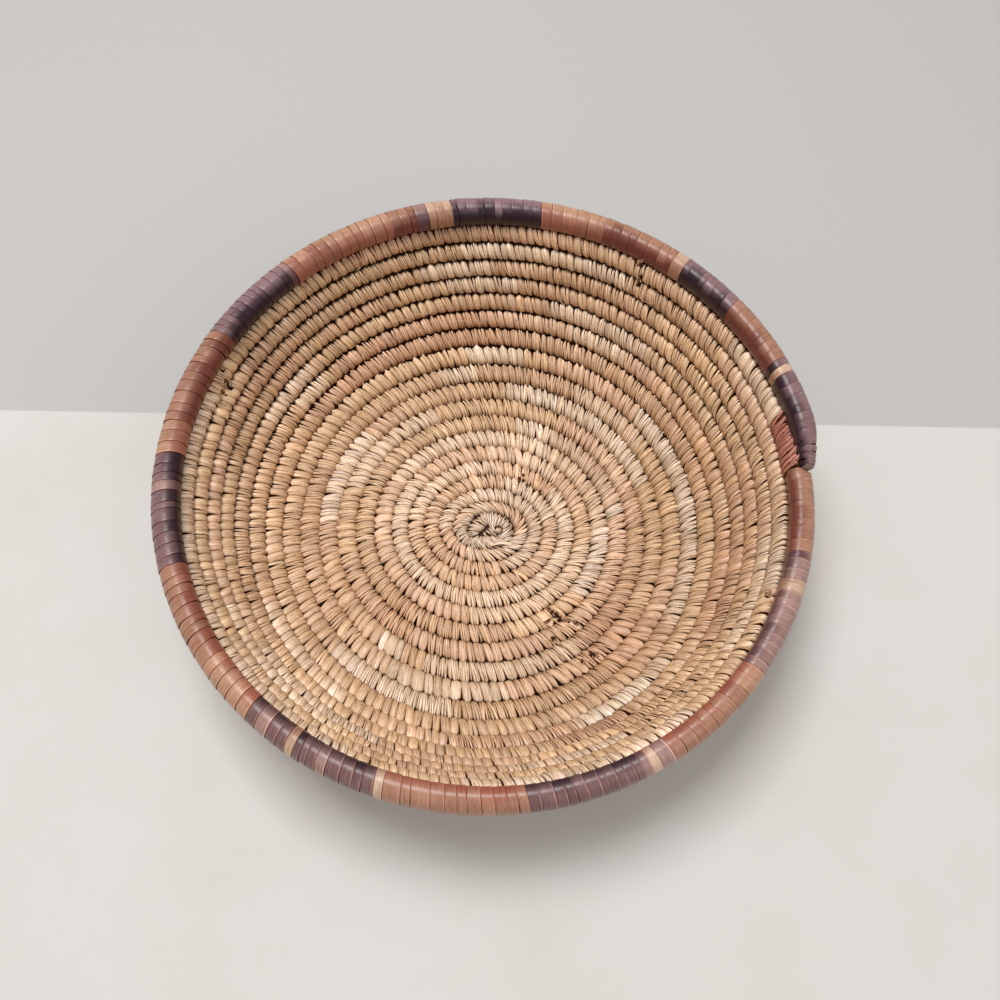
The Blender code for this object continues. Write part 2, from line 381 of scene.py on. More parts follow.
class Hoops:
    """Many closed hoops of one section in one mesh, side by side along X, ready to be bent into place."""

    def __init__(self, name, section, sides, count):
        shape = bmesh.new()
        corners = [shape.verts.new((across, 0.0, radius)) for across, radius in section]
        edges = []
        for index, corner in enumerate(corners):
            edges.append(shape.edges.new((corner, corners[index - 1])))
        outline = corners + edges
        bmesh.ops.spin(
            shape, geom=outline, axis=(1, 0, 0), cent=(0, 0, 0), angle=tau, steps=sides, use_merge=True
        )
        fill_a_row(shape, count)
        self.mesh = as_mesh(shape, name)
        places = read_places(self.mesh)
        self.hoop = np.rint(places[:, 0] / HOOP_SPACING).astype(int)
        across = places[:, 0] - self.hoop * HOOP_SPACING
        radius = np.hypot(places[:, 1], places[:, 2])
        self.angle = np.arctan2(places[:, 1], places[:, 2]) % tau
        section = np.array(section)
        apart = np.hypot(across[:, None] - section[:, 0], radius[:, None] - section[:, 1])
        self.corner = apart.argmin(axis=1)
        self.across = section[self.corner, 0]


def fill_a_row(shape, count):
    """Copies the first shape along X until there are this many."""
    made = 1
    while made < count:
        copied = min(made, count - made)
        edge = (copied - 0.5) * HOOP_SPACING
        faces = [face for face in shape.faces if face.verts[0].co.x < edge]
        copies = bmesh.ops.duplicate(shape, geom=faces)["geom"]
        corners = [item for item in copies if isinstance(item, bmesh.types.BMVert)]
        bmesh.ops.translate(shape, verts=corners, vec=(made * HOOP_SPACING, 0, 0))
        made += copied


def as_mesh(shape, name):
    """Turns the worked shape into a mesh."""
    mesh = bpy.data.meshes.new(name)
    shape.to_mesh(mesh)
    shape.free()
    return mesh


def read_places(mesh):
    """Where the mesh's corners are, one row for each."""
    places = np.empty(len(mesh.vertices) * 3, np.float32)
    mesh.vertices.foreach_get("co", places)
    return places.reshape(-1, 3).astype(float)


def add_values(mesh, name, values):
    """Gives each corner of the mesh its own number, under a name that the materials read."""
    made = mesh.attributes.new(name, "FLOAT", "POINT")
    made.data.foreach_set("value", np.asarray(values, np.float32))


def add_tones(mesh, name, tones):
    """Gives each corner of the mesh its own tone, under a name that the materials read."""
    made = mesh.attributes.new(name, "FLOAT_COLOR", "POINT")
    rows = np.ones((len(tones), 4), np.float32)
    rows[:, :3] = tones
    made.data.foreach_set("color", rows.ravel())


def add_one_tone(mesh, tone):
    add_tones(mesh, "leaf_tone", np.tile(tone, (len(mesh.vertices), 1)))


def add_strip_map(mesh, across, around, turned_share):
    """A map in millimetres, across the strip and along it, with its seam where the hoop closes."""
    corners = np.empty(len(mesh.loops), np.int32)
    mesh.loops.foreach_get("vertex_index", corners)
    faces = corners.reshape(-1, 4)
    share = turned_share[faces]
    behind = (share.max(axis=1, keepdims=True) - share > 0.5).astype(float)
    full = around[faces] + behind * (around / np.maximum(turned_share, SEAM_SHARE))[faces]
    at_seam = turned_share[faces] < SEAM_SHARE
    full = np.where(at_seam, behind * np.nanmax(full, axis=1, keepdims=True), full)
    places = np.stack((across[faces], full), axis=-1)
    made = mesh.uv_layers.new(name="strip_map")
    made.data.foreach_set("uv", places.astype(np.float32).ravel())


def finished(mesh, places, sharp_angle, material, nodes):
    """Puts the mesh in its place, turns its faces outward and makes it a piece of the basket."""
    mesh.vertices.foreach_set("co", places.astype(np.float32).ravel())
    shape = bmesh.new()
    shape.from_mesh(mesh)
    bmesh.ops.recalc_face_normals(shape, faces=shape.faces)
    shape.to_mesh(mesh)
    shape.free()
    mesh.update()
    mesh.shade_smooth()
    mesh.set_sharp_from_angle(angle=sharp_angle)
    mesh.materials.append(material)
    piece = bpy.data.objects.new(mesh.name, mesh)
    bpy.context.scene.collection.objects.link(piece)
    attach(piece, "root")
    if nodes:
        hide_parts(*nodes)


# The stitches of the rows. Widths are along the row, and angles go round it from its crest towards the rim.
# How broad the stitches are near the middle and from a turn on, and the gap between two.
FINE_STITCH = 0.0038
BROAD_STITCH = 0.0046
FIRST_BROAD_TURN = 14.0
STITCH_SPREAD = 0.14
STITCH_GAP = 0.00012
# The last stitch takes all that is left, if that is under this many widths.
LAST_STITCH_WIDTHS = 1.5
# The fewest stitches that one leaf makes, and the first number that it never reaches.
LEAF_STITCHES = (9, 26)
# How often a leaf is split into one, two, three or four splints, and how its stitches differ from that.
MOST_SPLINTS = 4
BASE_SPLINT_SHARES = (0.0, 0.14, 0.42, 0.44)
WALL_SPLINT_SHARES = (0.04, 0.4, 0.38, 0.18)
NEAR_SPLINT_SHARES = (1.0, 0.2, 0.0, 0.0)
NEAR_WHOLE_LEAVES = 1.6
SPLINT_COUNT_CHANGES = (-1, 0, 0, 0, 1)
# How unlike each other the splints of a stitch are in width, tone and hue.
SPLINT_WIDTH_RANGE = (0.6, 1.4)
SPLINT_OVERLAP_SHARE = 1.03
LEAF_TONE_RANGE = (0.95, 1.05)
STITCH_TONE_RANGE = (0.93, 1.07)
SPLINT_TONE_RANGE = (0.86, 1.12)
HUE_TURN = np.array((0.3, 0.0, -1.2))
HUE_SPREAD = 0.02
# A splint or a winding may be cut from anywhere within so many millimetres of leaf.
LEAF_RANGE = (0.0, 400.0)
SPLINT_LENGTH_MM = 32.0
# How the stitches lean, more on the right, and most of all in the first turns.
STITCH_LEAN = radians(15.0)
LEAN_TO_THE_RIGHT = radians(6.0)
LEAN_SPREAD = radians(2.5)
SPLINT_LEAN_SPREAD = 0.06
START_LEAN = radians(32)
START_LEAN_TURNS = 2.8
# How deep the stitches sit in the row's outline, how they puff up, and how each splint is crowned.
SUNK = 0.00025
PUFF = 0.00075
CROWN = 0.0002
CROWN_WIDTH = 0.0016
MOST_CROWN_SHARE = 1.3
CROWN_SHARES = np.array((0.0, 0.75, 1.0, 0.75, 0.0))
CROWN_EDGE = 0.00032
MOST_EDGE_SHARE = 0.28
# How much painted shade the crease between two splints of one stitch gets, against 1 between two stitches.
INNER_CREASE_SHADE = 0.84
LEVEL_SPREAD = 0.00013
# A stitch is painted lighter along its middle than at its sides, as painted shading.
STITCH_SHADE = 0.16
STITCH_SHADE_MIDDLE = 0.4
# The tips of the stitches, which reach over the groove towards the rim like teeth.
TOOTH = 0.0015
WALL_TOOTH = 0.0019
TOOTH_ANGLE = radians(63)
WALL_TOOTH_ANGLE = radians(60)
TOOTH_SPAN = radians(17)
TOOTH_RANGE = (0.55, 1.35)
TIP_LIFT = 0.0001
# The tips and the fringe are painted lighter, as a painted highlight.
TIP_PAINTED_HIGHLIGHT = 0.28
TIP_END = radians(85)
# How much of a tip's point is the whole stitch's, and not each splint's own: on the base, and how much more
# on the wall.
STITCH_POINT_SHARE = 0.35
WALL_POINT_SHARE = 0.4
# How much painted shade a groove keeps under the tips, on the base, and how much more on the wall.
KEPT_GROOVE_SHARE = 0.3
WALL_KEPT_SHARE = 0.2
# The fringe of long tips that hang over the grooves on the left wall.
FRINGE = 0.0018
FRINGE_SIDE = radians(185)
FRINGE_ANGLE = radians(70)
FRINGE_SPAN = radians(25)
FRINGE_EVEN_SHARE = 0.6
FRINGE_COVER_SHARE = 0.4
# How the rows' outline differs from the model's, and how far the rows stand apart on the wall.
WALL_TURN = 7.0
WALL_TURNS = 5.0
ROW_WIDENING = 0.00015
WALL_NARROWING = 0.00015
OVERLAP = 0.0001
WALL_OPENING = 0.0012
OPEN_SIDE = radians(145)
OPEN_TURN = 9.5
OPEN_TURNS = 5.0
START_ROW_SHARE = 0.55
START_GROWTH_TURNS = 0.35
BASE_SECTION_POWER = 0.86
WALL_SECTION_POWER = 0.98
FLOOR_CLEARANCE = 0.0002
# How far inside the coil's own start and end the sewing starts and ends.
SEWN_START_TURNS = 0.02
SEWN_END_TURNS = 0.0003
# How sharp an edge may be before its shading breaks.
SPLINT_EDGE = radians(70)
PLAIN_EDGE = radians(60)
WINDING_EDGE = radians(50)
# The narrow dyed stitches where the rim is still a row.
DYED_START_TONE = paint(186, 121, 100)
DYED_START_STITCH = 0.0027
DYED_START_TOOTH = 2.6
DYED_START_SPLINTS = (2, 4)
# The angles round the row at which the shares below are given, closer together at its two grooves.
HOOP_ANGLES = np.radians((0, 30, 55, 75, 95, 120, 150, 180, 210, 240, 265, 285, 305, 330, 360))
# Each pair is for the base and for the wall: how narrow the stitches and their splints are, how much painted
# shade they get in the groove, how much painted shading round the row they get, and how far they puff up.
STITCH_PINCHES = (
    np.array((1.0, 1.0, 0.94, 0.81, 0.7, 0.85, 1.0, 1.0, 1.0, 0.95, 0.9, 0.94, 0.98, 1.0, 1.0)),
    np.array((1.0, 1.0, 1.0, 0.96, 0.88, 0.93, 1.0, 1.0, 1.0, 0.95, 0.88, 0.92, 0.97, 1.0, 1.0)),
)
SPLINT_PINCHES = (
    np.array((1.0, 1.0, 0.98, 0.88, 0.66, 0.8, 1.0, 1.0, 1.0, 1.0, 1.05, 1.06, 1.03, 1.0, 1.0)),
    np.array((1.0, 1.0, 1.0, 0.98, 0.9, 0.95, 1.0, 1.0, 1.0, 1.0, 1.03, 1.04, 1.03, 1.0, 1.0)),
)
GROOVE_SHADE_SHARES = (
    np.array((0.0, 0.0, 0.0, 0.4, 1.0, 0.4, 0.0, 0.0, 0.0, 0.3, 1.0, 0.8, 0.24, 0.0, 0.0)),
    np.array((0.0, 0.0, 0.0, 0.25, 1.0, 0.4, 0.0, 0.0, 0.0, 0.4, 1.0, 0.8, 0.22, 0.0, 0.0)),
)
ROW_PAINTED_SHADING = (
    np.array((1.06, 1.06, 0.96, 0.8, 0.62, 0.8, 1.0, 1.0, 1.0, 0.9, 0.62, 0.7, 0.86, 1.0, 1.06)),
    np.array((1.0, 1.04, 1.12, 1.0, 0.6, 0.8, 1.0, 1.0, 1.0, 0.8, 0.42, 0.54, 0.7, 0.87, 1.0)),
)
PUFF_SHARES = (
    np.array((1.0, 1.0, 1.0, 0.8, 0.4, 0.7, 0.9, 1.0, 0.9, 0.7, 0.5, 0.7, 0.9, 1.0, 1.0)),
    np.array((0.65, 0.7, 0.85, 0.85, 0.6, 0.7, 0.9, 1.0, 0.9, 0.7, 0.6, 0.85, 0.95, 0.8, 0.65)),
)


def on_the_wall(turn):
    """0 on the base and 1 on the wall, where the rows look rounder and their stitches closer."""
    return smooth((turn - WALL_TURN) / WALL_TURNS)


def openness(turn):
    """How far the rows stand apart: on the wall, most of all at its far left."""
    return smooth((turn - OPEN_TURN) / OPEN_TURNS) * (0.5 + 0.5 * np.cos(angle_at(turn) - OPEN_SIDE))


def row_surface(turn, angle, drawn_in=0.0):
    """The row's outline at an angle round it: how far along the profile and how far off it."""
    narrowing = WALL_NARROWING * on_the_wall(turn)
    widening = ROW_WIDENING - narrowing - WALL_OPENING * openness(turn) - drawn_in
    inner = (run_at(turn) - run_at(turn - 1.0) - ROW_GAP) / 2 + widening - OVERLAP
    outer = (run_at(turn + 1.0) - run_at(turn) - ROW_GAP) / 2 + widening + OVERLAP
    narrow_share = np.minimum((inner + outer + ROW_GAP) / FULL_PITCH, 1.0)
    crest = SIDE_HEIGHT + (COIL_THICKNESS / 2 - SIDE_HEIGHT) * narrow_share - drawn_in
    side = np.sin(angle)
    top = np.cos(angle)
    half_width = np.where(side > 0, outer, inner)
    half_height = np.where(top > 0, crest, SEAT - drawn_in)
    power = BASE_SECTION_POWER + (WALL_SECTION_POWER - BASE_SECTION_POWER) * on_the_wall(turn)
    along = half_width * np.sign(side) * np.abs(side) ** power
    lift = half_height * np.sign(top) * np.abs(top) ** power
    return along, lift


def pick(rng, shares):
    """One of the names in shares, as often as each one's share says."""
    names = list(shares)
    weights = np.array([shares[name] for name in names])
    return names[rng.choice(len(names), p=weights / weights.sum())]


def mixed_shares(base, wall, wall_share):
    """The shares between those of the base and those of the wall."""
    return {name: base[name] * (1 - wall_share) + wall[name] * wall_share for name in base}


def body_span():
    """The first and last turn of the sewn rows."""
    return COIL_START_TURN + SEWN_START_TURNS, RIM_START_TURN - SEWN_END_TURNS


def as_columns(rows):
    """The rows' values under each name, as one array for each name."""
    return {name: np.array([row[name] for row in rows]) for name in rows[0]}


def turn_of_row(row, degrees):
    """The turn at which a row, counted from the middle, passes an angle."""
    turn = END_TURN + (RIM_END_ANGLE - radians(degrees)) / tau
    return row - 1 + turn % 1.0


def noted_spans():
    """The noted leaves as first turn, last turn and tone."""
    spans = []
    for row, first_degrees, last_degrees, name in NOTED_LEAVES:
        spans.append((turn_of_row(row, last_degrees), turn_of_row(row, first_degrees), LEAF_TONES[name]))
    return spans


def noted_tone(spans, turn, usual):
    """The tone of the leaf at this turn, nearer to a noted one's where there is one."""
    for first, last, tone in spans:
        if first <= turn < last:
            return NOTED_SHARE * np.array(tone) + (1.0 - NOTED_SHARE) * usual
    return usual


def leaf_at(rng, turn):
    """The tone and the number of splints of the leaf that is spliced in here."""
    wall_share = float(smooth((turn - WALL_LEAF_TURN) / WALL_LEAF_TURNS))
    shares = mixed_shares(BASE_TONE_SHARES, WALL_TONE_SHARES, wall_share)
    usual = sum(share * np.array(LEAF_TONES[name]) for name, share in shares.items())
    tone = usual + LEAF_SPREAD_SHARE * (np.array(LEAF_TONES[pick(rng, shares)]) - usual)
    counts = np.array(BASE_SPLINT_SHARES) * (1 - wall_share) + np.array(WALL_SPLINT_SHARES) * wall_share
    near_share = wall_share * max(0.0, -sin(angle_at(turn)))
    counts = counts + NEAR_WHOLE_LEAVES * near_share * np.array(NEAR_SPLINT_SHARES)
    tone = tone * (1.0 - WALL_DUSK * wall_share) * rng.uniform(*LEAF_TONE_RANGE)
    return tone, 1 + rng.choice(MOST_SPLINTS, p=counts / counts.sum())


def plan_splints(rng):
    """Sews the rows in thought, leaf by leaf and stitch by stitch, and lists every splint of every stitch."""
    splints = []
    spans = noted_spans()
    first, last = body_span()
    length = length_at(first)
    end = length_at(last)
    while length < end:
        turn = float(turn_after(length))
        tone, leaf_count = leaf_at(rng, turn)
        broad = FINE_STITCH + (BROAD_STITCH - FINE_STITCH) * smooth(turn / FIRST_BROAD_TURN)
        for _ in range(rng.integers(*LEAF_STITCHES)):
            width = broad * np.exp(rng.normal(0.0, STITCH_SPREAD))
            if end - length < LAST_STITCH_WIDTHS * width:
                width = end - length
            count = int(np.clip(leaf_count + rng.choice(SPLINT_COUNT_CHANGES), 1, MOST_SPLINTS))
            stitch_tone = noted_tone(spans, float(turn_after(length)), tone)
            add_stitch(rng, splints, length + width / 2, width - STITCH_GAP, count, stitch_tone)
            length += width
            if length >= end:
                break
    return as_columns(splints)


def plan_dyed_start(rng):
    """The narrow dyed stitches where the rim is still a row, under its own tail."""
    splints = []
    length = length_at(RIM_START_TURN)
    end = length_at(END_TURN - 1.0)
    tone = np.array(DYED_START_TONE)
    while length < end:
        width = DYED_START_STITCH * np.exp(rng.normal(0.0, STITCH_SPREAD))
        if end - length < LAST_STITCH_WIDTHS * width:
            width = end - length
        count = rng.integers(*DYED_START_SPLINTS)
        add_stitch(rng, splints, length + width / 2, width - STITCH_GAP, count, tone)
        length += width
    splints = as_columns(splints)
    splints["tooth"] *= DYED_START_TOOTH
    return splints


def add_stitch(rng, splints, middle, width, count, tone):
    """Splits one stitch into its splints."""
    shares = rng.uniform(*SPLINT_WIDTH_RANGE, count)
    shares /= shares.sum()
    turn = float(turn_after(middle))
    lean = STITCH_LEAN + LEAN_TO_THE_RIGHT * cos(angle_at(turn)) + rng.normal(0.0, LEAN_SPREAD)
    lean += START_LEAN * (1.0 - float(smooth((turn - COIL_START_TURN) / START_LEAN_TURNS)))
    level = rng.normal(0.0, LEVEL_SPREAD)
    stitch_tone = tone * rng.uniform(*STITCH_TONE_RANGE)
    edge = -0.5
    for index, share in enumerate(shares):
        splints.append(
            {
                "middle": middle,
                "turn": turn,
                "stitch_width": width,
                "offset": (edge + share / 2) * width,
                "width": share * width * SPLINT_OVERLAP_SHARE,
                "lean": lean + rng.normal(0.0, SPLINT_LEAN_SPREAD),
                "level": level + rng.normal(0.0, LEVEL_SPREAD),
                "tone": splint_tone(rng, stitch_tone),
                "first_edge": 1.0 if index == 0 else INNER_CREASE_SHADE,
                "last_edge": 1.0 if index == count - 1 else INNER_CREASE_SHADE,
                "strand": rng.uniform(*LEAF_RANGE),
                "tooth": rng.uniform(*TOOTH_RANGE),
            }
        )
        edge += share


def splint_tone(rng, tone):
    """The tone of one splint of a stitch: a little lighter or darker, and a little redder or yellower."""
    return tone * rng.uniform(*SPLINT_TONE_RANGE) * (1.0 + rng.normal(0.0, HUE_SPREAD) * HUE_TURN)


def round_angle(hoops):
    """The angle round the row of each corner: closer together at the grooves than the hoop's own."""
    return np.interp(hoops.angle / tau * (len(HOOP_ANGLES) - 1), np.arange(len(HOOP_ANGLES)), HOOP_ANGLES)


def by_angle(angle, shares):
    """The value at an angle round the row, between those given at the hoop angles."""
    return np.interp(angle, HOOP_ANGLES, shares)


def by_place(angle, pair, wall):
    """The value at an angle round the row, from a pair for the base and for the wall."""
    return by_angle(angle, pair[0]) * (1.0 - wall) + by_angle(angle, pair[1]) * wall


# Worn places, where splints are broken and sink, painted dark as the shade in the hole: x, y and how wide.
WORN_PLACES = (
    (0.0332, -0.0478, 0.0009),
    (0.0352, -0.0498, 0.0013),
    (0.0370, -0.0514, 0.0015),
    (0.0392, -0.0528, 0.0013),
    (0.0411, -0.0535, 0.0009),
    (0.0434, -0.0541, 0.0010),
    (0.0476, -0.0556, 0.0011),
    (0.0325, -0.0551, 0.0010),
    (0.0355, -0.0645, 0.0013),
    (0.0556, -0.0730, 0.0014),
    (0.0574, -0.0733, 0.0010),
    (0.0505, -0.0768, 0.0009),
    (0.0824, 0.1278, 0.0010),
    (0.0835, 0.1268, 0.0006),
    (0.0832, 0.1298, 0.0005),
    (0.0830, 0.1222, 0.0011),
    (-0.1358, 0.0556, 0.0014),
    (-0.1376, 0.0506, 0.0008),
    (-0.1381, 0.0607, 0.0010),
    (0.0206, 0.0313, 0.0007),
    (0.0185, 0.0298, 0.0006),
    (0.0206, 0.0284, 0.0006),
    (0.0243, 0.0258, 0.0006),
    (0.0298, 0.0220, 0.0005),
    (0.1349, -0.0591, 0.0009),
)
WORN_DEPTH = 0.0036
WORN_EDGE = 0.22
WORN_REACH = 0.0065
# The stitches near a worn place have more sides, so that the hole in them can be small.
WORN_SIDES = 42
WORN_EVEN_SHARE = 0.6


def worn_share(places, raggedness):
    """How worn each place is, from 0 to 1, on the inside of the basket."""
    worn = np.zeros(len(places))
    for x, y, wide in WORN_PLACES:
        apart = np.hypot(places[:, 0] - x, places[:, 1] - y)
        worn = np.maximum(worn, 1.0 - smooth((apart / wide / raggedness - 1.0) / WORN_EDGE))
    return worn


def near_worn_places(turns):
    """Which of these turns pass a worn place."""
    middles = placed(turns, run_at(turns), 0.0, SEAT)
    near = np.zeros(len(turns), bool)
    for x, y, _ in WORN_PLACES:
        near |= np.hypot(middles[:, 0] - x, middles[:, 1] - y) < WORN_REACH
    return near


def on_the_inside(x, y, lift):
    """The place above this point of the inside of the basket, lifted so far off the rows' middles."""
    oval = np.zeros(len(x))
    for _ in range(OVAL_STEPS):
        angle = np.arctan2(y + oval * np.sin(np.arctan2(y, x)), x - oval * np.cos(np.arctan2(y, x)))
        reach = np.hypot(x - oval * np.cos(angle), y + oval * np.sin(angle))
        reaches = PROFILE.reaches - COIL_THICKNESS / 2 * np.sin(PROFILE.slope_at(PROFILE.runs))
        run = np.interp(reach, reaches, PROFILE.runs)
        rows = np.interp(run, run_at(TURN_MARKS), TURN_MARKS)
        turn = END_TURN + (RIM_END_ANGLE - angle) / tau
        turn = turn + np.round(rows - turn)
        oval = START_OVAL * (1.0 - smooth((turn - OVAL_TURNS) / OVAL_FADE_TURNS))
    return placed(turn, run, 0.0, lift)


class Splints:
    """The splints of some stitches, as hoops, with what the shape and the tones of their corners share."""

    def __init__(self, name, plan, sides):
        self.hoops = Hoops(name, SPLINT_SECTION, sides, len(plan["turn"]))
        self.of = {key: values[self.hoops.hoop] for key, values in plan.items()}
        self.angle = round_angle(self.hoops)
        self.wall = on_the_wall(self.of["turn"])
        self.raised = (self.hoops.corner > 0) & (self.hoops.corner < len(SPLINT_SECTION) - 1)
        shoulder = 0.5 - np.minimum(CROWN_EDGE / self.of["width"], MOST_EDGE_SHARE)
        self.across = np.where(self.raised, np.sign(self.hoops.across) * shoulder, self.hoops.across)
        offset = self.of["offset"] + self.across * self.of["width"]
        self.side_share = np.clip(offset / (self.of["stitch_width"] / 2), -1.0, 1.0)
        tooth_angle = TOOTH_ANGLE + (WALL_TOOTH_ANGLE - TOOTH_ANGLE) * self.wall
        self.at_tip = np.exp(-(((self.angle - tooth_angle) / TOOTH_SPAN) ** 2))
        fringe = (0.5 + 0.5 * np.cos(angle_at(self.of["turn"]) - FRINGE_SIDE)) ** 2 * self.wall
        self.fringe = fringe * np.exp(-(((self.angle - FRINGE_ANGLE) / FRINGE_SPAN) ** 2))

    def push(self):
        """How far each corner stands off the row's outline."""
        puff = PUFF * (1.0 - self.side_share**2) * by_place(self.angle, PUFF_SHARES, self.wall)
        crown = CROWN * np.minimum(self.of["width"] / CROWN_WIDTH, MOST_CROWN_SHARE)
        return puff + crown * CROWN_SHARES[self.hoops.corner] + self.of["level"] - SUNK

    def reach(self):
        """How far the tips reach over the groove: a tooth for each stitch, and the left wall's fringe."""
        of_stitch = STITCH_POINT_SHARE + WALL_POINT_SHARE * self.wall
        point = of_stitch * (1.0 - np.abs(self.side_share))
        point = point + (1.0 - of_stitch) * (1.0 - np.abs(2.0 * self.across))
        point = point * self.of["tooth"]
        narrow = np.minimum((run_at(self.of["turn"]) - run_at(self.of["turn"] - 1.0)) / FULL_PITCH, 1.0)
        tooth = (TOOTH + (WALL_TOOTH - TOOTH) * self.wall) * narrow * point * self.at_tip
        return tooth, FRINGE * (FRINGE_EVEN_SHARE + (1.0 - FRINGE_EVEN_SHARE) * point) * self.fringe

    def lay(self):
        """Where the corners lie, and how worn each one is."""
        push = self.push()
        along, lift = row_surface(self.of["turn"], self.angle)
        left = smooth((self.of["turn"] - COIL_START_TURN) / START_GROWTH_TURNS)
        grown = START_ROW_SHARE + (1.0 - START_ROW_SHARE) * left
        along = along * grown + np.sin(self.angle) * push
        lift = np.where(lift > 0, lift * grown, lift) + np.cos(self.angle) * push
        tooth, fringe = self.reach()
        along = along + tooth + fringe
        lift = lift + TIP_LIFT * self.at_tip
        own = self.across * self.of["width"] * by_place(self.angle, SPLINT_PINCHES, self.wall)
        shifted = self.of["offset"] * by_place(self.angle, STITCH_PINCHES, self.wall)
        turn = turn_after(self.of["middle"] + shifted + own - np.tan(self.of["lean"]) * along)
        places = placed(turn, run_at(turn), along, lift)
        raggedness = WORN_EVEN_SHARE + (1.0 - WORN_EVEN_SHARE) * self.of["tooth"]
        worn = worn_share(places, raggedness) * (np.cos(self.angle) > 0)
        sunk = worn * WORN_DEPTH
        along = along - np.sin(self.angle) * sunk
        lift = lift - np.cos(self.angle) * sunk
        places = placed(turn, run_at(turn), along, lift)
        places[:, 2] = np.maximum(places[:, 2], FLOOR_CLEARANCE)
        return places, worn

    def creases(self):
        """How deep each corner lies in the crease between its splint and the next: its painted shade."""
        edges = np.where(self.hoops.across < 0, self.of["first_edge"], self.of["last_edge"])
        return edges * (~self.raised)

    def grooves(self):
        """The painted shade of each corner in the groove between two rows, less where a tip or fringe covers
        it.
        """
        tip_share = np.where(self.angle < TIP_END, np.abs(2.0 * self.across), 1.0)
        kept = KEPT_GROOVE_SHARE + WALL_KEPT_SHARE * self.wall
        groove = by_place(self.angle, GROOVE_SHADE_SHARES, self.wall) * (kept + (1.0 - kept) * tip_share)
        return groove * (1.0 - FRINGE_COVER_SHARE * self.fringe)

    def tones(self):
        """The leaf's tone at each corner, with painted highlights at the tips and painted shading round the
        row.
        """
        tip = self.at_tip * (1.0 - np.abs(2.0 * self.across)) * self.of["tooth"]
        light = 1.0 + TIP_PAINTED_HIGHLIGHT * np.maximum(tip, self.fringe)
        light = light * (1.0 + STITCH_SHADE * (STITCH_SHADE_MIDDLE - self.side_share**2))
        light = light * by_place(self.angle, ROW_PAINTED_SHADING, self.wall)
        return self.of["tone"] * np.stack([light**power for power in WARMTH_POWERS], axis=-1)


def sew(name, plan, material, node="body_coil", sides=SPLINT_SIDES):
    """The stitches of some rows as one piece."""
    splints = Splints(name, plan, sides)
    places, worn = splints.lay()
    mesh = splints.hoops.mesh
    add_tones(mesh, "leaf_tone", splints.tones())
    add_values(mesh, "crease", splints.creases())
    # Worn places get the groove's painted dark shade, for the shade in their holes.
    add_values(mesh, "groove", np.maximum(splints.grooves(), worn))
    share = splints.hoops.angle / tau
    across = splints.across * splints.of["width"] / MM + splints.of["strand"]
    add_strip_map(mesh, across, share * SPLINT_LENGTH_MM, share)
    finished(mesh, places, SPLINT_EDGE, material, [node])


# What each piece's random numbers start from.
ROWS_SEED = 11
DYED_START_SEED = 5
# Where the rows are split into pieces, in turns.
ROW_PIECES = (
    ("centre_rows", 0.0, 7.2),
    ("base_rows", 7.2, 10.6),
    ("bend_rows", 10.6, 13.6),
    ("lower_wall_rows", 13.6, 16.2),
    ("middle_wall_rows", 16.2, 18.4),
    ("upper_wall_rows", 18.4, 30.0),
)


def some_of(splints, chosen):
    """The plan of only the chosen splints."""
    return {key: values[chosen] for key, values in splints.items()}


def sew_rows(material):
    """All the stitches: a piece for each stretch of the coil, and one each for worn places and dyed start."""
    splints = plan_splints(np.random.default_rng(ROWS_SEED))
    worn = near_worn_places(splints["turn"])
    for name, first, last in ROW_PIECES:
        chosen = (splints["turn"] >= first) & (splints["turn"] < last) & ~worn
        sew(name, some_of(splints, chosen), material)
    sew("worn_stitches", some_of(splints, worn), material, sides=WORN_SIDES)
    dyed_start = plan_dyed_start(np.random.default_rng(DYED_START_SEED))
    sew("dyed_start_stitches", dyed_start, material, "rim_strip_01_red_brown")


# The bundle, painted dark as shade: how finely it is made, how far inside the stitches it lies, and how it
# meets the next row.
BUNDLE_STATIONS = 900
BUNDLE_SIDES = 12
BUNDLE_START_TURNS = 0.05
BUNDLE_INSET = 0.00105
BUNDLE_MEETING = 0.0004
BUNDLE_SIDE_LIFT = -0.0006
# The corners at the bundle's two sides are those whose angle has a cosine under this.
SIDE_COSINE = 0.1
# Corners nearer than this are one.
SAME_PLACE = 1e-6


def bundle_of_grass(material):
    """The bundle inside the stitches, seen only between them, in its painted dark shade."""
    shape = bmesh.new()
    bmesh.ops.create_grid(shape, x_segments=BUNDLE_STATIONS, y_segments=BUNDLE_SIDES, size=0.5)
    first = body_span()[0] + BUNDLE_START_TURNS
    last = END_TURN - 1.0
    for corner in shape.verts:
        turn = first + (last - first) * (corner.co.x + 0.5)
        angle = (corner.co.y + 0.5) * tau % tau
        along, lift = row_surface(turn, angle, BUNDLE_INSET)
        if abs(cos(angle)) < SIDE_COSINE:
            half = (run_at(turn + np.sign(sin(angle))) - run_at(turn)) / 2
            along = half + np.sign(sin(angle)) * BUNDLE_MEETING
            lift = BUNDLE_SIDE_LIFT
        corner.co = Vector(placed(turn, run_at(turn), along, lift))
    closed_bundle(shape, "bundle", material, "body_coil")


def closed_bundle(shape, name, material, node):
    """Joins the bent sheet into a tube, closes its ends and makes it a piece."""
    bmesh.ops.remove_doubles(shape, verts=shape.verts, dist=SAME_PLACE)
    rings = [edge for edge in shape.edges if edge.is_boundary]
    bmesh.ops.holes_fill(shape, edges=rings, sides=0)
    mesh = as_mesh(shape, name)
    finished(mesh, read_places(mesh), PLAIN_EDGE, material, [node])


# The start knot: splints that turn round a small gap in the middle, a fan at the upper right, a ring and a
# flap. All but its pad and its ring are straight strands, bent into place.
STRAND_SIDES = 6
STRAND_CUTS = 7
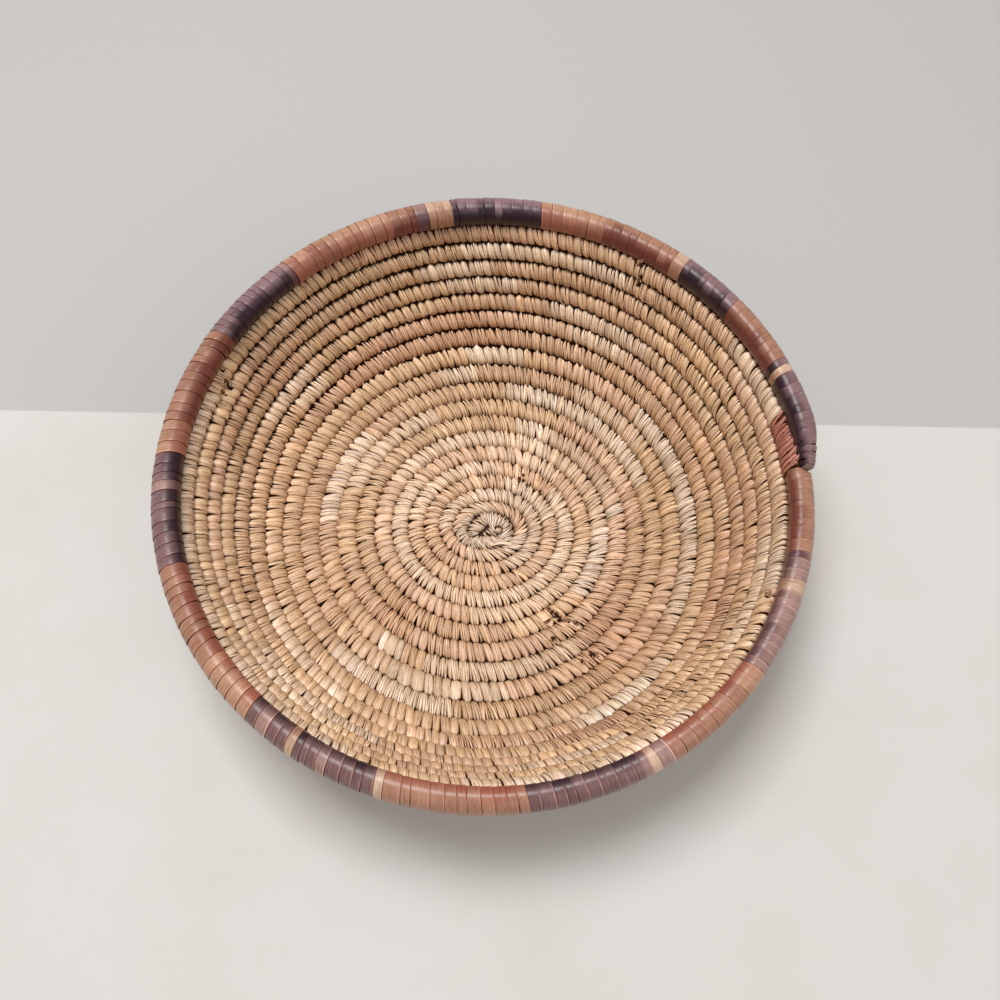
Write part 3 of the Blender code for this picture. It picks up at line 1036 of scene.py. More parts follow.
# Each leaf's inner and outer end, x and y in millimetres, and half its width.
LEFT_LEAVES = (
    (-7.7, 4.8, -13.2, 7.7, 1.2),
    (-8.5, 4.0, -15.8, 4.8, 1.1),
    (-9.2, 1.9, -16.7, 2.9, 1.1),
    (-10.3, 0.2, -18.2, -1.0, 0.8),
    (-10.7, -0.9, -16.9, -2.7, 0.9),
    (-11.1, -2.4, -16.6, -5.1, 1.0),
    (-10.9, -3.8, -16.2, -8.3, 0.9),
    (-10.7, -5.5, -14.3, -10.9, 0.8),
    (-9.7, -6.6, -13.0, -11.9, 0.8),
    (-8.4, -6.6, -10.9, -12.0, 0.8),
)
LOW_LEAVES = (
    (-6.6, -5.9, -8.8, -11.0, 0.9),
    (-5.0, -4.9, -7.2, -10.2, 1.0),
    (-4.2, -5.8, -5.3, -11.4, 1.0),
    (-3.0, -5.2, -3.5, -11.1, 0.9),
    (-2.2, -5.4, -1.4, -11.6, 0.9),
    (-1.2, -5.2, 0.8, -11.8, 0.9),
    (-0.5, -5.0, 3.2, -10.9, 1.3),
    (1.8, -5.2, 5.8, -10.2, 1.5),
    (4.5, -6.6, 8.6, -10.8, 1.1),
    (6.4, -9.6, 14.8, -9.0, 1.0),
    (8.0, -8.9, 15.2, -6.0, 1.2),
    (7.2, -7.2, 14.9, -3.0, 1.3),
    (6.4, -5.9, 12.9, 0.2, 1.5),
)
FAN_LEAVES = (
    (0.1, 2.2, -3.9, 8.4, 1.1),
    (1.4, 1.4, -1.8, 9.4, 1.1),
    (1.9, 0.6, 0.6, 8.4, 1.1),
    (2.6, 0.0, 2.6, 9.2, 1.2),
    (3.5, -0.6, 5.0, 8.3, 1.2),
    (4.9, 0.0, 7.2, 7.4, 1.2),
    (6.4, 0.2, 9.6, 6.4, 1.2),
    (8.0, -0.5, 11.6, 4.3, 1.1),
    (8.6, -1.4, 12.8, 2.2, 0.9),
    (0.3, 5.2, 5.2, -6.0, 1.0),
    (1.6, 0.9, 4.2, -5.2, 0.7),
    (0.9, -0.6, 3.4, -5.0, 0.7),
)
FILL_LEAVES = (
    (0.0, -1.5, 2.9, -4.5, 0.7),
    (-1.0, -2.4, 2.0, -4.4, 0.6),
    (-2.2, -3.4, -0.4, -5.6, 0.8),
)
RING_LEAVES = (
    (4.7, -3.4, 6.2, -0.7, 0.8),
    (5.6, -4.0, 7.2, -0.8, 0.8),
    (6.6, -4.2, 8.0, -1.6, 0.7),
)
MIDDLE_LEAVES = (
    (0.1, 0.8, -5.0, 5.9, 1.2),
    (-0.9, 0.1, -8.2, 3.6, 1.2),
    (-1.3, -0.9, -9.8, 0.9, 1.2),
    (-2.3, -2.3, -10.3, -1.6, 1.1),
    (-3.6, -3.2, -10.8, -4.1, 1.0),
    (-4.7, -3.9, -10.2, -5.7, 0.8),
)
# Each group with its height at the inner end, in the middle and at the outer end, in millimetres.
LEAF_GROUPS = (
    (LEFT_LEAVES, 6.9, 8.0, 6.2),
    (LOW_LEAVES, 7.0, 8.0, 6.2),
    (FAN_LEAVES, 7.2, 8.8, 7.4),
    (MIDDLE_LEAVES, 6.9, 9.2, 7.6),
    (FILL_LEAVES, 6.9, 8.1, 7.2),
    (RING_LEAVES, 8.0, 9.1, 8.3),
)
LEAF_PARTS = 2
KNOT_SEED = 31
KNOT_LEAVES = ("cream", "cream", "pale_straw", "pale_straw")
KNOT_TINT = np.array((0.98, 1.01, 1.06))
KNOT_TONE_RANGE = (0.98, 1.16)
# How unlike each other the parts of the leaves are, in millimetres where they are lengths.
PETAL_LENGTH_RANGE = (0.96, 1.05)
PETAL_OVERLAP_SHARE = 1.04
PETAL_STEP_MM = 0.25
PETAL_HEIGHT_SPREAD_MM = 0.12
PETAL_BOW_SPREAD_MM = 0.25
PETAL_THICKNESS = 0.0004
# How narrow a petal's ends are, and which part of a full swell its width follows.
PETAL_END_WIDTH_SHARE = 0.35
PETAL_SWELL_START_SHARE = 0.12
PETAL_SWELL_SHARE = 0.82
ARCH_POWER = 0.7
# How much painted shade a petal gets: everywhere, at its sides, at its two ends, and underneath.
PETAL_CREASE_SHARE = 0.2
PETAL_SIDE_GROOVE_SHARE = 0.4
PETAL_END_GROOVE_SHARE = 0.6
PETAL_DARK_START_SHARE = 0.1
PETAL_DARK_END_SHARE = 0.07
UNDERNEATH = -0.1
PETAL_LENGTH_MM = 10.0
RING_PLACE = (0.0062, -0.0022, 0.0089)
RING_RADIUS = 0.0023
RING_THICKNESS = 0.00028
RING_SECTION_SIDES = 8
RING_SIDES = 20
RING_TONE = paint(104, 64, 36)
FLAP_ENDS = ((0.0138, -0.0108), (0.0010, -0.0119))
FLAP_HEIGHT = 0.0083
FLAP_HALF_WIDTH = 0.0012
FLAP_TAPER_SHARE = 0.75
FLAP_BOW = 0.0012
FLAP_ARCH = 0.0014
FLAP_FALL = 0.001
FLAP_MAP_MM = (1.7, 12.0)
# The pad under the knot: how it spreads under the coil's first turn, and how high its middle and dome are.
# The pad is painted dark brown, as painted shade in the gaps between the knot's leaves.
PAD_PAINTED_SHADE = paint(92, 56, 32)
PAD_SIDES = 48
PAD_RINGS = 16
PAD_SPREAD_SHARE = 1.25
PAD_REACH_SHARE = 1.12
PAD_MIDDLE_SHARE = 0.42
PAD_DOME_SHARE = 0.46
PAD_MAP_MM = 9.0
# Painted shadows in the knot's narrow gaps: their ends in millimetres, half their width and their height.
KNOT_GAP_SHADOWS = (
    (1.4, 0.9, -2.4, -2.5, 0.28, 8.2),
    (-1.8, -2.0, -4.8, -4.3, 0.28, 8.1),
    (-0.5, -4.7, 2.0, -4.9, 0.24, 8.0),
    (5.6, -6.5, 7.2, -8.2, 0.4, 8.0),
    (8.8, -7.6, 11.4, -5.5, 0.2, 8.3),
    (11.2, -5.6, 14.2, -4.4, 0.2, 8.0),
)
GAP_END_WIDTH_SHARE = 0.25
GAP_MAP_MM = (0.3, 5.0)
# The painted shadow in the curved gap below the flap.
FLAP_GAP = ((0.0100, -0.0138), (0.0014, -0.0121))
FLAP_GAP_HALF_WIDTH = 0.0003
FLAP_GAP_DEPTH = 0.0002
FLAP_GAP_BOW = 0.0016


class Strands:
    """Many straight closed strands in one mesh, side by side along X, ready to be bent into place."""

    def __init__(self, name, count):
        shape = bmesh.new()
        bmesh.ops.create_cone(
            shape, cap_ends=True, segments=STRAND_SIDES, radius1=1.0, radius2=1.0, depth=1.0
        )
        long_edges = [edge for edge in shape.edges if abs(edge.verts[0].co.z - edge.verts[1].co.z) > 0.5]
        bmesh.ops.subdivide_edges(shape, edges=long_edges, cuts=STRAND_CUTS)
        fill_a_row(shape, count)
        self.mesh = as_mesh(shape, name)
        places = read_places(self.mesh)
        self.strand = np.rint(places[:, 0] / HOOP_SPACING).astype(int)
        self.across = places[:, 0] - self.strand * HOOP_SPACING
        self.upward = places[:, 1]
        self.share = places[:, 2] + 0.5


def knot_reach(angle):
    """How far the knot reaches at each angle: out to the coil's first turn, which winds round it."""
    first = body_span()[0]
    turn = first + (angle_at(first) - angle) % tau / tau
    reach = PROFILE.point_at(groove_run(turn) - ROW_GAP)[0]
    side = reach - START_OVAL
    out = reach + START_OVAL
    return 1.0 / np.hypot(np.cos(angle) / out, np.sin(angle) / side)


def plan_petals(rng):
    """The knot's leaves, each split into a few parts that lie side by side."""
    petals = []
    for leaves, inner_height, middle_height, outer_height in LEAF_GROUPS:
        for index, (start_x, start_y, end_x, end_y, half_width) in enumerate(leaves):
            tone = np.array(LEAF_TONES[rng.choice(KNOT_LEAVES)])
            step = 2.0 * half_width / LEAF_PARTS
            for part in range(LEAF_PARTS):
                beside = (part - (LEAF_PARTS - 1) / 2) * step
                end = np.array((end_x, end_y)) * MM * rng.uniform(*PETAL_LENGTH_RANGE)
                raised = PETAL_STEP_MM * (index % 2) + rng.normal(0.0, PETAL_HEIGHT_SPREAD_MM)
                petals.append(
                    {
                        "start": np.array((start_x, start_y)) * MM,
                        "end": end,
                        "beside": beside * MM,
                        "half_width": step / 2 * MM * PETAL_OVERLAP_SHARE,
                        "inner_height": inner_height * MM,
                        "middle_height": (middle_height + raised) * MM,
                        "outer_height": outer_height * MM,
                        "bow": rng.normal(0.0, PETAL_BOW_SPREAD_MM) * MM,
                        "tone": tone * KNOT_TINT * rng.uniform(*KNOT_TONE_RANGE),
                        "strand": rng.uniform(*LEAF_RANGE),
                    }
                )
    return as_columns(petals)


def tie_start_knot(material):
    """The splints of the knot, each one arched from the middle outward."""
    petals = plan_petals(np.random.default_rng(KNOT_SEED))
    strands = Strands("start_knot_splints", len(petals["tone"]))
    of = {key: values[strands.strand] for key, values in petals.items()}
    share = strands.share
    way = of["end"] - of["start"]
    way = way / np.hypot(way[:, 0], way[:, 1])[:, None]
    sideways = np.stack((-way[:, 1], way[:, 0]), axis=-1)
    swell = np.sin(pi * (PETAL_SWELL_START_SHARE + PETAL_SWELL_SHARE * share))
    broad = PETAL_END_WIDTH_SHARE + (1.0 - PETAL_END_WIDTH_SHARE) * swell
    across = (of["beside"] + strands.across * of["half_width"]) * broad + of["bow"] * np.sin(share * pi)
    flat = of["start"] + (of["end"] - of["start"]) * share[:, None] + sideways * across[:, None]
    ends = of["inner_height"] + (of["outer_height"] - of["inner_height"]) * share
    middle = of["middle_height"] - (of["inner_height"] + of["outer_height"]) / 2
    height = ends + middle * np.sin(share * pi) ** ARCH_POWER
    z = np.maximum(height + strands.upward * PETAL_THICKNESS, FLOOR_CLEARANCE)
    add_tones(strands.mesh, "leaf_tone", of["tone"])
    darken_petals(strands)
    add_strand_map(strands, of["half_width"] / MM, PETAL_LENGTH_MM, of["strand"])
    finished_knot(strands.mesh, np.stack((flat[:, 0], flat[:, 1], z), axis=-1), material)


def darken_petals(strands):
    """The shade at the sides, the ends and the underside of the knot's splints."""
    share = strands.share
    sideways_share = np.clip(np.abs(strands.across) - 0.5, 0.0, 0.5) * 2.0
    add_values(strands.mesh, "crease", np.maximum(sideways_share, PETAL_CREASE_SHARE))
    at_start = smooth((PETAL_DARK_START_SHARE - share) / PETAL_DARK_START_SHARE)
    at_end = smooth((share - (1.0 - PETAL_DARK_END_SHARE)) / PETAL_DARK_END_SHARE)
    at_ends = np.maximum(at_start, at_end) * PETAL_END_GROOVE_SHARE
    underneath = (strands.upward < UNDERNEATH).astype(float)
    groove = np.maximum(np.maximum(at_ends, underneath), sideways_share * PETAL_SIDE_GROOVE_SHARE)
    add_values(strands.mesh, "groove", groove)


def finished_knot(mesh, places, material):
    finished(mesh, places, PLAIN_EDGE, material, ["start_knot"])


def add_map(mesh, across, along):
    """A map in millimetres, from each corner's place across the leaf and along it."""
    corners = np.empty(len(mesh.loops), np.int32)
    mesh.loops.foreach_get("vertex_index", corners)
    made = mesh.uv_layers.new(name="strip_map")
    places = np.stack((across[corners], along[corners]), axis=-1)
    made.data.foreach_set("uv", places.astype(np.float32).ravel())


def add_strand_map(strands, across_scale, along_scale, shift):
    """A map in millimetres for strands that are so wide and so long."""
    add_map(strands.mesh, strands.across * across_scale + shift, strands.share * along_scale)


def paint_knot_gap_shadows(material):
    """Painted shadow in the knot's narrow gaps, as dark strips just under the upper sides of its leaves."""
    strands = Strands("knot_gap_shadows", len(KNOT_GAP_SHADOWS) + 1)
    rows = [(*(np.array(row[:5]) * MM), row[5] * MM, 0.0) for row in KNOT_GAP_SHADOWS]
    (start_x, start_y), (end_x, end_y) = FLAP_GAP
    flap_gap = (FLAP_GAP_HALF_WIDTH, FLAP_HEIGHT - FLAP_GAP_DEPTH, FLAP_GAP_BOW)
    rows.append((start_x, start_y, end_x, end_y, *flap_gap))
    start_x, start_y, end_x, end_y, half_width, height, bow = np.array(rows)[strands.strand].T
    length = np.hypot(end_x - start_x, end_y - start_y)
    arch = np.sin(strands.share * pi)
    broad = GAP_END_WIDTH_SHARE + (1.0 - GAP_END_WIDTH_SHARE) * arch
    beside = strands.across * half_width * broad - bow * arch
    x = start_x + (end_x - start_x) * strands.share - (end_y - start_y) / length * beside
    y = start_y + (end_y - start_y) * strands.share + (end_x - start_x) / length * beside
    z = height + strands.upward * PETAL_THICKNESS
    add_one_tone(strands.mesh, PAINTED_DEEP_SHADE)
    add_strand_map(strands, *GAP_MAP_MM, 0.0)
    finished_knot(strands.mesh, np.stack((x, y, z), axis=-1), material)


def pad_under_the_knot(material):
    """The pad that fills the first turn, domed, and flat underneath where it stands."""
    shape = bmesh.new()
    bmesh.ops.create_uvsphere(shape, u_segments=PAD_SIDES, v_segments=PAD_RINGS, radius=1.0)
    for corner in shape.verts:
        angle = np.arctan2(corner.co.y, corner.co.x)
        out = float(knot_reach(angle)) * min(corner.co.xy.length * PAD_SPREAD_SHARE, PAD_REACH_SHARE)
        height = KNOT_HEIGHT * (PAD_MIDDLE_SHARE + PAD_DOME_SHARE * corner.co.z)
        corner.co = Vector((out * np.cos(angle), out * np.sin(angle), max(height, FLOOR_CLEARANCE)))
    mesh = as_mesh(shape, "start_knot_pad")
    places = read_places(mesh)
    add_one_tone(mesh, PAD_PAINTED_SHADE)
    around = np.arctan2(places[:, 1], places[:, 0]) * PAD_MAP_MM
    add_map(mesh, around, np.hypot(places[:, 0], places[:, 1]) / MM)
    finished_knot(mesh, places, material)


def bend_ring(material):
    """The small ring of splint beside the knot's middle."""
    shape = bmesh.new()
    made = bmesh.ops.create_circle(shape, segments=RING_SECTION_SIDES, radius=RING_THICKNESS)
    outline = made["verts"]
    bmesh.ops.rotate(shape, verts=outline, matrix=Matrix.Rotation(pi / 2, 3, "X"))
    bmesh.ops.translate(shape, verts=outline, vec=(RING_RADIUS, 0, 0))
    turned = outline + list(shape.edges)
    bmesh.ops.spin(
        shape, geom=turned, axis=(0, 0, 1), cent=(0, 0, 0), angle=tau, steps=RING_SIDES, use_merge=True
    )
    bmesh.ops.translate(shape, verts=shape.verts, vec=RING_PLACE)
    mesh = as_mesh(shape, "knot_ring")
    places = read_places(mesh)
    add_one_tone(mesh, RING_TONE)
    around = np.arctan2(places[:, 1] - RING_PLACE[1], places[:, 0] - RING_PLACE[0]) * RING_RADIUS / MM
    add_map(mesh, places[:, 2] / MM, around)
    finished_knot(mesh, places, material)


def fold_flap(material):
    """The broad flap that the knot ends in, below its ring."""
    flap = Strands("knot_flap", 1)
    start, end = (np.array(place) for place in FLAP_ENDS)
    line = start + (end - start) * flap.share[:, None]
    way = (end - start) / np.linalg.norm(end - start)
    half_width = FLAP_HALF_WIDTH * (1.0 - FLAP_TAPER_SHARE * flap.share)
    arch = np.sin(flap.share * pi)
    sideways = flap.across * half_width - FLAP_BOW * arch
    z = FLAP_HEIGHT + FLAP_ARCH * arch - FLAP_FALL * flap.share + flap.upward * PETAL_THICKNESS
    places = np.stack((line[:, 0] - way[1] * sideways, line[:, 1] + way[0] * sideways, z), axis=-1)
    add_one_tone(flap.mesh, LEAF_TONES["pale_straw"])
    add_strand_map(flap, *FLAP_MAP_MM, 0.0)
    finished_knot(flap.mesh, places, material)


# Broken ends of splints, at the larger worn places: how far they stick out over the hole and how they lie.
ENDS_SEED = 71
LEAST_WORN_FOR_ENDS = 0.0009
ENDS_AT_EACH = 6
END_WAY_SPREAD = 0.4
BROKEN_END_LENGTH = 0.0016
END_LENGTH_RANGE = (0.5, 1.3)
BROKEN_END_WIDTH = 0.00022
END_WIDTH_RANGE = (0.6, 1.4)
END_TAPER_SHARE = 0.7
END_BOW_SPREAD = 0.35
END_START_SHARE = 1.25
END_OUTSIDE_SHARE = 0.35
BROKEN_END_LIFT = 0.0047
END_ARCH = 0.0005
END_THICKNESS = 0.00012
END_MAP_MM = (0.3, 2.0)


def leave_broken_ends(material):
    """The torn ends of the splints that once covered the worn places."""
    rng = np.random.default_rng(ENDS_SEED)
    places = [place for place in WORN_PLACES if place[2] >= LEAST_WORN_FOR_ENDS]
    count = ENDS_AT_EACH * len(places)
    strands = Strands("broken_ends", count)
    x, y, wide = np.repeat(np.array(places), ENDS_AT_EACH, axis=0)[strands.strand].T
    way = np.arange(count) * tau / ENDS_AT_EACH + rng.normal(0.0, END_WAY_SPREAD, count)
    length = BROKEN_END_LENGTH * rng.uniform(*END_LENGTH_RANGE, count)
    width = BROKEN_END_WIDTH * rng.uniform(*END_WIDTH_RANGE, count)
    bow = rng.normal(0.0, END_BOW_SPREAD, count) * length
    way, length, width, bow = (values[strands.strand] for values in (way, length, width, bow))
    arch = np.sin(strands.share * pi)
    out = wide * END_START_SHARE + length * (END_OUTSIDE_SHARE - strands.share)
    beside = bow * arch + strands.across * width * (1.0 - END_TAPER_SHARE * strands.share)
    lift = BROKEN_END_LIFT + END_ARCH * arch + strands.upward * END_THICKNESS
    end_x = x + out * np.cos(way) - beside * np.sin(way)
    end_y = y + out * np.sin(way) + beside * np.cos(way)
    add_one_tone(strands.mesh, LEAF_TONES["pinkish"])
    add_strand_map(strands, *END_MAP_MM, 0.0)
    points = on_the_inside(end_x, end_y, lift)
    finished(strands.mesh, points, PLAIN_EDGE, material, ["body_coil"])


# Fine fibres that have come loose from the splints: between which turns, and how they lie.
FIBRES_SEED = 47
LOOSE_FIBRES = 90
FIRST_FIBRE_TURN = 2.5
TURNS_BEYOND_FIBRES = 0.2
FIBRE_LENGTHS = (0.004, 0.013)
FIBRE_BOWS = (-0.25, 0.25)
FIBRE_THICKNESS = 0.00008
FIBRE_RISE = 0.0016
FIBRE_RISE_SHARE = 0.7
FIBRE_CLEARANCE = 0.0002
FIBRE_ACROSS_SHARE = 0.6
FIBRE_MAP_MM = (0.1, 8.0)


def raise_loose_fibres(material):
    """Fibres that start at a row's crest, run along or across it, and stand a little proud."""
    rng = np.random.default_rng(FIBRES_SEED)
    strands = Strands("loose_fibres", LOOSE_FIBRES)
    turns = rng.uniform(FIRST_FIBRE_TURN, RIM_START_TURN - TURNS_BEYOND_FIBRES, LOOSE_FIBRES)
    lengths = rng.uniform(*FIBRE_LENGTHS, LOOSE_FIBRES)
    ways = rng.uniform(0.0, tau, LOOSE_FIBRES)
    bows = rng.uniform(*FIBRE_BOWS, LOOSE_FIBRES)
    turn, length, way, bow = (values[strands.strand] for values in (turns, lengths, ways, bows))
    gone = length * strands.share
    bow = bow * length * np.sin(strands.share * pi)
    along_row = np.cos(way) * gone - np.sin(way) * bow
    across_row = np.sin(way) * gone * FIBRE_ACROSS_SHARE + np.cos(way) * bow
    across_row = across_row + strands.across * FIBRE_THICKNESS
    turn = turn + turns_for(along_row, turn)
    rise = FIBRE_RISE * np.sin(strands.share * pi * FIBRE_RISE_SHARE) ** 2
    lift = COIL_THICKNESS / 2 + FIBRE_CLEARANCE + rise + strands.upward * FIBRE_THICKNESS
    add_one_tone(strands.mesh, LEAF_TONES["pale_straw"])
    add_strand_map(strands, *FIBRE_MAP_MM, 0.0)
    places = placed(turn, run_at(turn), across_row, lift)
    finished(strands.mesh, places, PLAIN_EDGE, material, [])


# The rim's windings: how broad they are, the purple ones narrower, and how they lean.
RIM_SEED = 23
WINDING_WIDTH = 0.0054
WINDING_SPREAD = 0.22
PURPLE_WIDTH_SHARE = 0.86
WINDING_LEAN = radians(7.0)
WINDING_LEAN_SPREAD = 0.02
WINDING_LEVEL_SPREAD = 0.00006
WOBBLE = 0.00005
WINDING_LENGTH_MM = 46.0
# For each corner of a winding's section: how proud it stands, and how deep it lies in its painted crease
# shade.
PROUD_HEIGHTS = np.array((0.00022, 0.0003, 0.00028, 0.00022, 0.00006, -0.00008, -0.00014))
SMALL_PROUD_SHARE = 0.6
WINDING_CREASE_SHADES = np.array((0.6, 0.0, 0.0, 0.0, 0.0, 1.0, 1.0))
# The painted highlight on the leaf's turned edge at each corner, and how much stronger it is on the near
# purple strips.
LIP_PAINTED_HIGHLIGHT = np.array((1.2, 1.45, 1.0, 1.0, 1.0, 1.0, 1.0))
LIP_HIGHLIGHT_POWER = 0.7
PURPLE_LIP_HIGHLIGHT_POWER = 1.7
# How unlike each other the windings are in tone, and how often a purple one is mauve.
WINDING_TONE_RANGE = (0.93, 1.08)
FADED_TONE_RANGE = (0.95, 1.05)
MAUVE_SHARE = 0.12
# Where round the rim the tone turns from deep to faded, partly as the dye fades and partly as painted shade,
# and how much less so on the near side.
FADE_START = radians(18)
FADE_END = radians(88)
FADE_SPREAD = 0.22
NEAR_FADE = 0.62
INNER_SIDE = radians(300)
# The tail: its windings are narrow and wrinkled, and its tip is drawn in with folds.
TAIL_TURNS = 0.5
TAIL_WINDING_WIDTH = 0.0017
TAIL_LEAN_SPREAD = 0.26
TAIL_LEVEL_SPREAD = 0.00026
TAIL_TIP_LENGTH = 0.0026
TAIL_TIP_INSET = 0.0007
TAIL_TIP_SIDES = 54
TAIL_TIP_RINGS = 12
TAIL_TIP_COVER = 0.0001
TAIL_TIP_TONE_SHARE = 0.6
TAIL_FOLDS = 9
TAIL_FOLD = 0.09
# How far the middle of the tail would lie outward if the tail were drawn in to nothing.
TAIL_SHIFT = 0.0031
# How much flatter than round the rim is towards the bowl, and where along it and round it that is strongest.
FLATTENING = 0.0018
FLATTENING_SPREAD = 0.0015
FLATTEST_PLACE = radians(-50)
FLATTEST_SIDE = radians(-25)
FLAT_SPAN = radians(50)


def turns_for(length, turn):
    """The part of a turn that this length along the coil takes up at a given turn."""
    return length / (tau * PROFILE.point_at(run_at(turn))[0])


def rim_half_thickness(turn):
    """Half the rim's thickness: a row's at its start, full beyond its own tail, and thin at its tip."""
    row = (run_at(turn) - run_at(turn - 1.0) - ROW_GAP) / 2
    full = RIM_THICKNESS / 2
    grown = smooth((turn - END_TURN + 1.0) / turns_for(RIM_GROWTH_LENGTH, turn))
    half = row + (full - row) * grown
    left = np.clip((END_TURN - turn) / turns_for(TAIL_TAPER_LENGTH, turn), 0.0, 1.0)
    tip = TAIL_TIP_THICKNESS / 2
    return tip + (half - tip) * np.sin(left * pi / 2)


def rim_radius(turn, angle):
    """How far the rim's surface is from its middle line. Its angle counts from the side towards the bowl."""
    half = rim_half_thickness(turn)
    beside = (angle - FLATTEST_SIDE + pi) % tau - pi
    depth = FLATTENING + FLATTENING_SPREAD * np.cos(angle_at(turn) - FLATTEST_PLACE)
    return half - depth * (half / (RIM_THICKNESS / 2)) ** 2 * np.exp(-((beside / FLAT_SPAN) ** 2))


def rim_placed(turn, radius, angle):
    """A point of the rim, this far from its middle line. Its angle counts from the side towards the bowl."""
    half = rim_half_thickness(turn)
    run = groove_run(turn) + ROW_GAP / 2 + half
    tapered = (1.0 - half / (RIM_THICKNESS / 2)) * (turn > END_TURN - TAIL_TURNS)
    return placed(turn, run, radius * np.sin(angle), radius * np.cos(angle) - TAIL_SHIFT * tapered)


def rim_tone_name(degrees_in, dye):
    """The tone so far from the rim's start: the strip's own dye, or another where it changes."""
    for start, end, name in RIM_TONE_CHANGES:
        if start <= degrees_in < end:
            return name
    return dye


def winding_width_at(turn):
    """How broad the windings are: narrow on the tail."""
    tail_share = float(smooth((END_TURN - turn) / turns_for(TAIL_TAPER_LENGTH, turn)))
    return TAIL_WINDING_WIDTH + (WINDING_WIDTH - TAIL_WINDING_WIDTH) * tail_share


def winding_widths(rng, start, end, dye):
    """How broad each winding between two places along the coil is, so that together they fill it."""
    widths = []
    place = start
    while place < end:
        width = winding_width_at(float(turn_after(place))) * np.exp(rng.normal(0.0, WINDING_SPREAD))
        if dye == "purple":
            width *= PURPLE_WIDTH_SHARE
        widths.append(width)
        place += width
    if len(widths) > 1 and place - end > widths[-1] / 2:
        widths.pop()
    return np.array(widths) * (end - start) / sum(widths)


def winding_tones(rng, turn, dye):
    """A winding's deep tone towards the bowl, partly painted shade, and its faded one on the outer side."""
    name = rim_tone_name((turn - RIM_START_TURN) * 360.0, dye)
    if name == "purple" and rng.uniform() < MAUVE_SHARE:
        name = "mauve"
    deep, faded = (np.array(tone) for tone in RIM_TONES[name])
    if name == "purple":
        far_share = 0.5 + 0.5 * sin(angle_at(turn))
        faded = faded + (np.array(FAR_FADED_PURPLE) - faded) * far_share
        faded = deep + (faded - deep) * (NEAR_FADE + (1.0 - NEAR_FADE) * far_share)
    if name in ("red_brown", "salmon"):
        near_share = NEAR_RED_SHARE * float(smooth(-sin(angle_at(turn))))
        deep = deep + (np.array(NEAR_RED) - deep) * near_share
    return deep, faded


def plan_windings(rng, first, last, dye):
    """The windings of one strip, from its first turn to its last."""
    windings = []
    place = length_at(first)
    for width in winding_widths(rng, place, length_at(last), dye):
        turn = float(turn_after(place + width / 2))
        deep, faded = winding_tones(rng, turn, dye)
        bright = rng.uniform(*WINDING_TONE_RANGE)
        wrinkled = 1.0 - float(smooth((END_TURN - turn) / turns_for(TAIL_TAPER_LENGTH, turn)))
        purple_near = (dye == "purple") * max(0.0, -sin(angle_at(turn)))
        windings.append(
            {
                "middle": place + width / 2,
                "width": width,
                "lean": WINDING_LEAN + rng.normal(0.0, WINDING_LEAN_SPREAD + TAIL_LEAN_SPREAD * wrinkled),
                "level": rng.normal(0.0, WINDING_LEVEL_SPREAD + TAIL_LEVEL_SPREAD * wrinkled),
                "deep": deep * bright,
                "faded": faded * bright * rng.uniform(*FADED_TONE_RANGE),
                "fade_shift": rng.normal(0.0, FADE_SPREAD),
                "lip": LIP_HIGHLIGHT_POWER + PURPLE_LIP_HIGHLIGHT_POWER * purple_near,
                "wobble": rng.uniform(0.0, tau),
                "strand": rng.uniform(*LEAF_RANGE),
            }
        )
        place += width
    return as_columns(windings)


def wind_strip(name, windings, node, material):
    """One strip of the rim, winding by winding. Each one lies with its first edge on the one before."""
    hoops = Hoops(name, WINDING_SECTION, WINDING_SIDES, len(windings["middle"]))
    of = {key: values[hoops.hoop] for key, values in windings.items()}
    angle = hoops.angle
    turn_middle = turn_after(of["middle"])
    slope = PROFILE.slope_at(run_at(turn_middle))
    half = rim_half_thickness(turn_middle)
    small_share = half / (RIM_THICKNESS / 2)
    proud = PROUD_HEIGHTS[hoops.corner] * (SMALL_PROUD_SHARE + (1.0 - SMALL_PROUD_SHARE) * small_share)
    wobble = WOBBLE * np.sin(2 * angle + of["wobble"])
    offset = hoops.across * of["width"]
    lean_shift = np.tan(of["lean"]) * half * np.sin(angle - slope)
    turn = turn_after(of["middle"] + offset - lean_shift)
    radius = rim_radius(turn, angle) + proud + of["level"] + wobble
    places = rim_placed(turn, radius, angle)
    fade = smooth((angle + of["fade_shift"] - FADE_START) / (FADE_END - FADE_START))
    fade = np.where(angle > INNER_SIDE, 0.0, fade)
    tones = of["deep"] + (of["faded"] - of["deep"]) * fade[:, None]
    add_tones(hoops.mesh, "leaf_tone", tones * (LIP_PAINTED_HIGHLIGHT[hoops.corner] ** of["lip"])[:, None])
    add_values(hoops.mesh, "crease", WINDING_CREASE_SHADES[hoops.corner])
    add_values(hoops.mesh, "groove", np.zeros(len(angle)))
    share = hoops.angle / tau
    across = hoops.across * of["width"] / MM + of["strand"]
    add_strip_map(hoops.mesh, across, share * WINDING_LENGTH_MM, share)
    finished(hoops.mesh, places, WINDING_EDGE, material, [node])


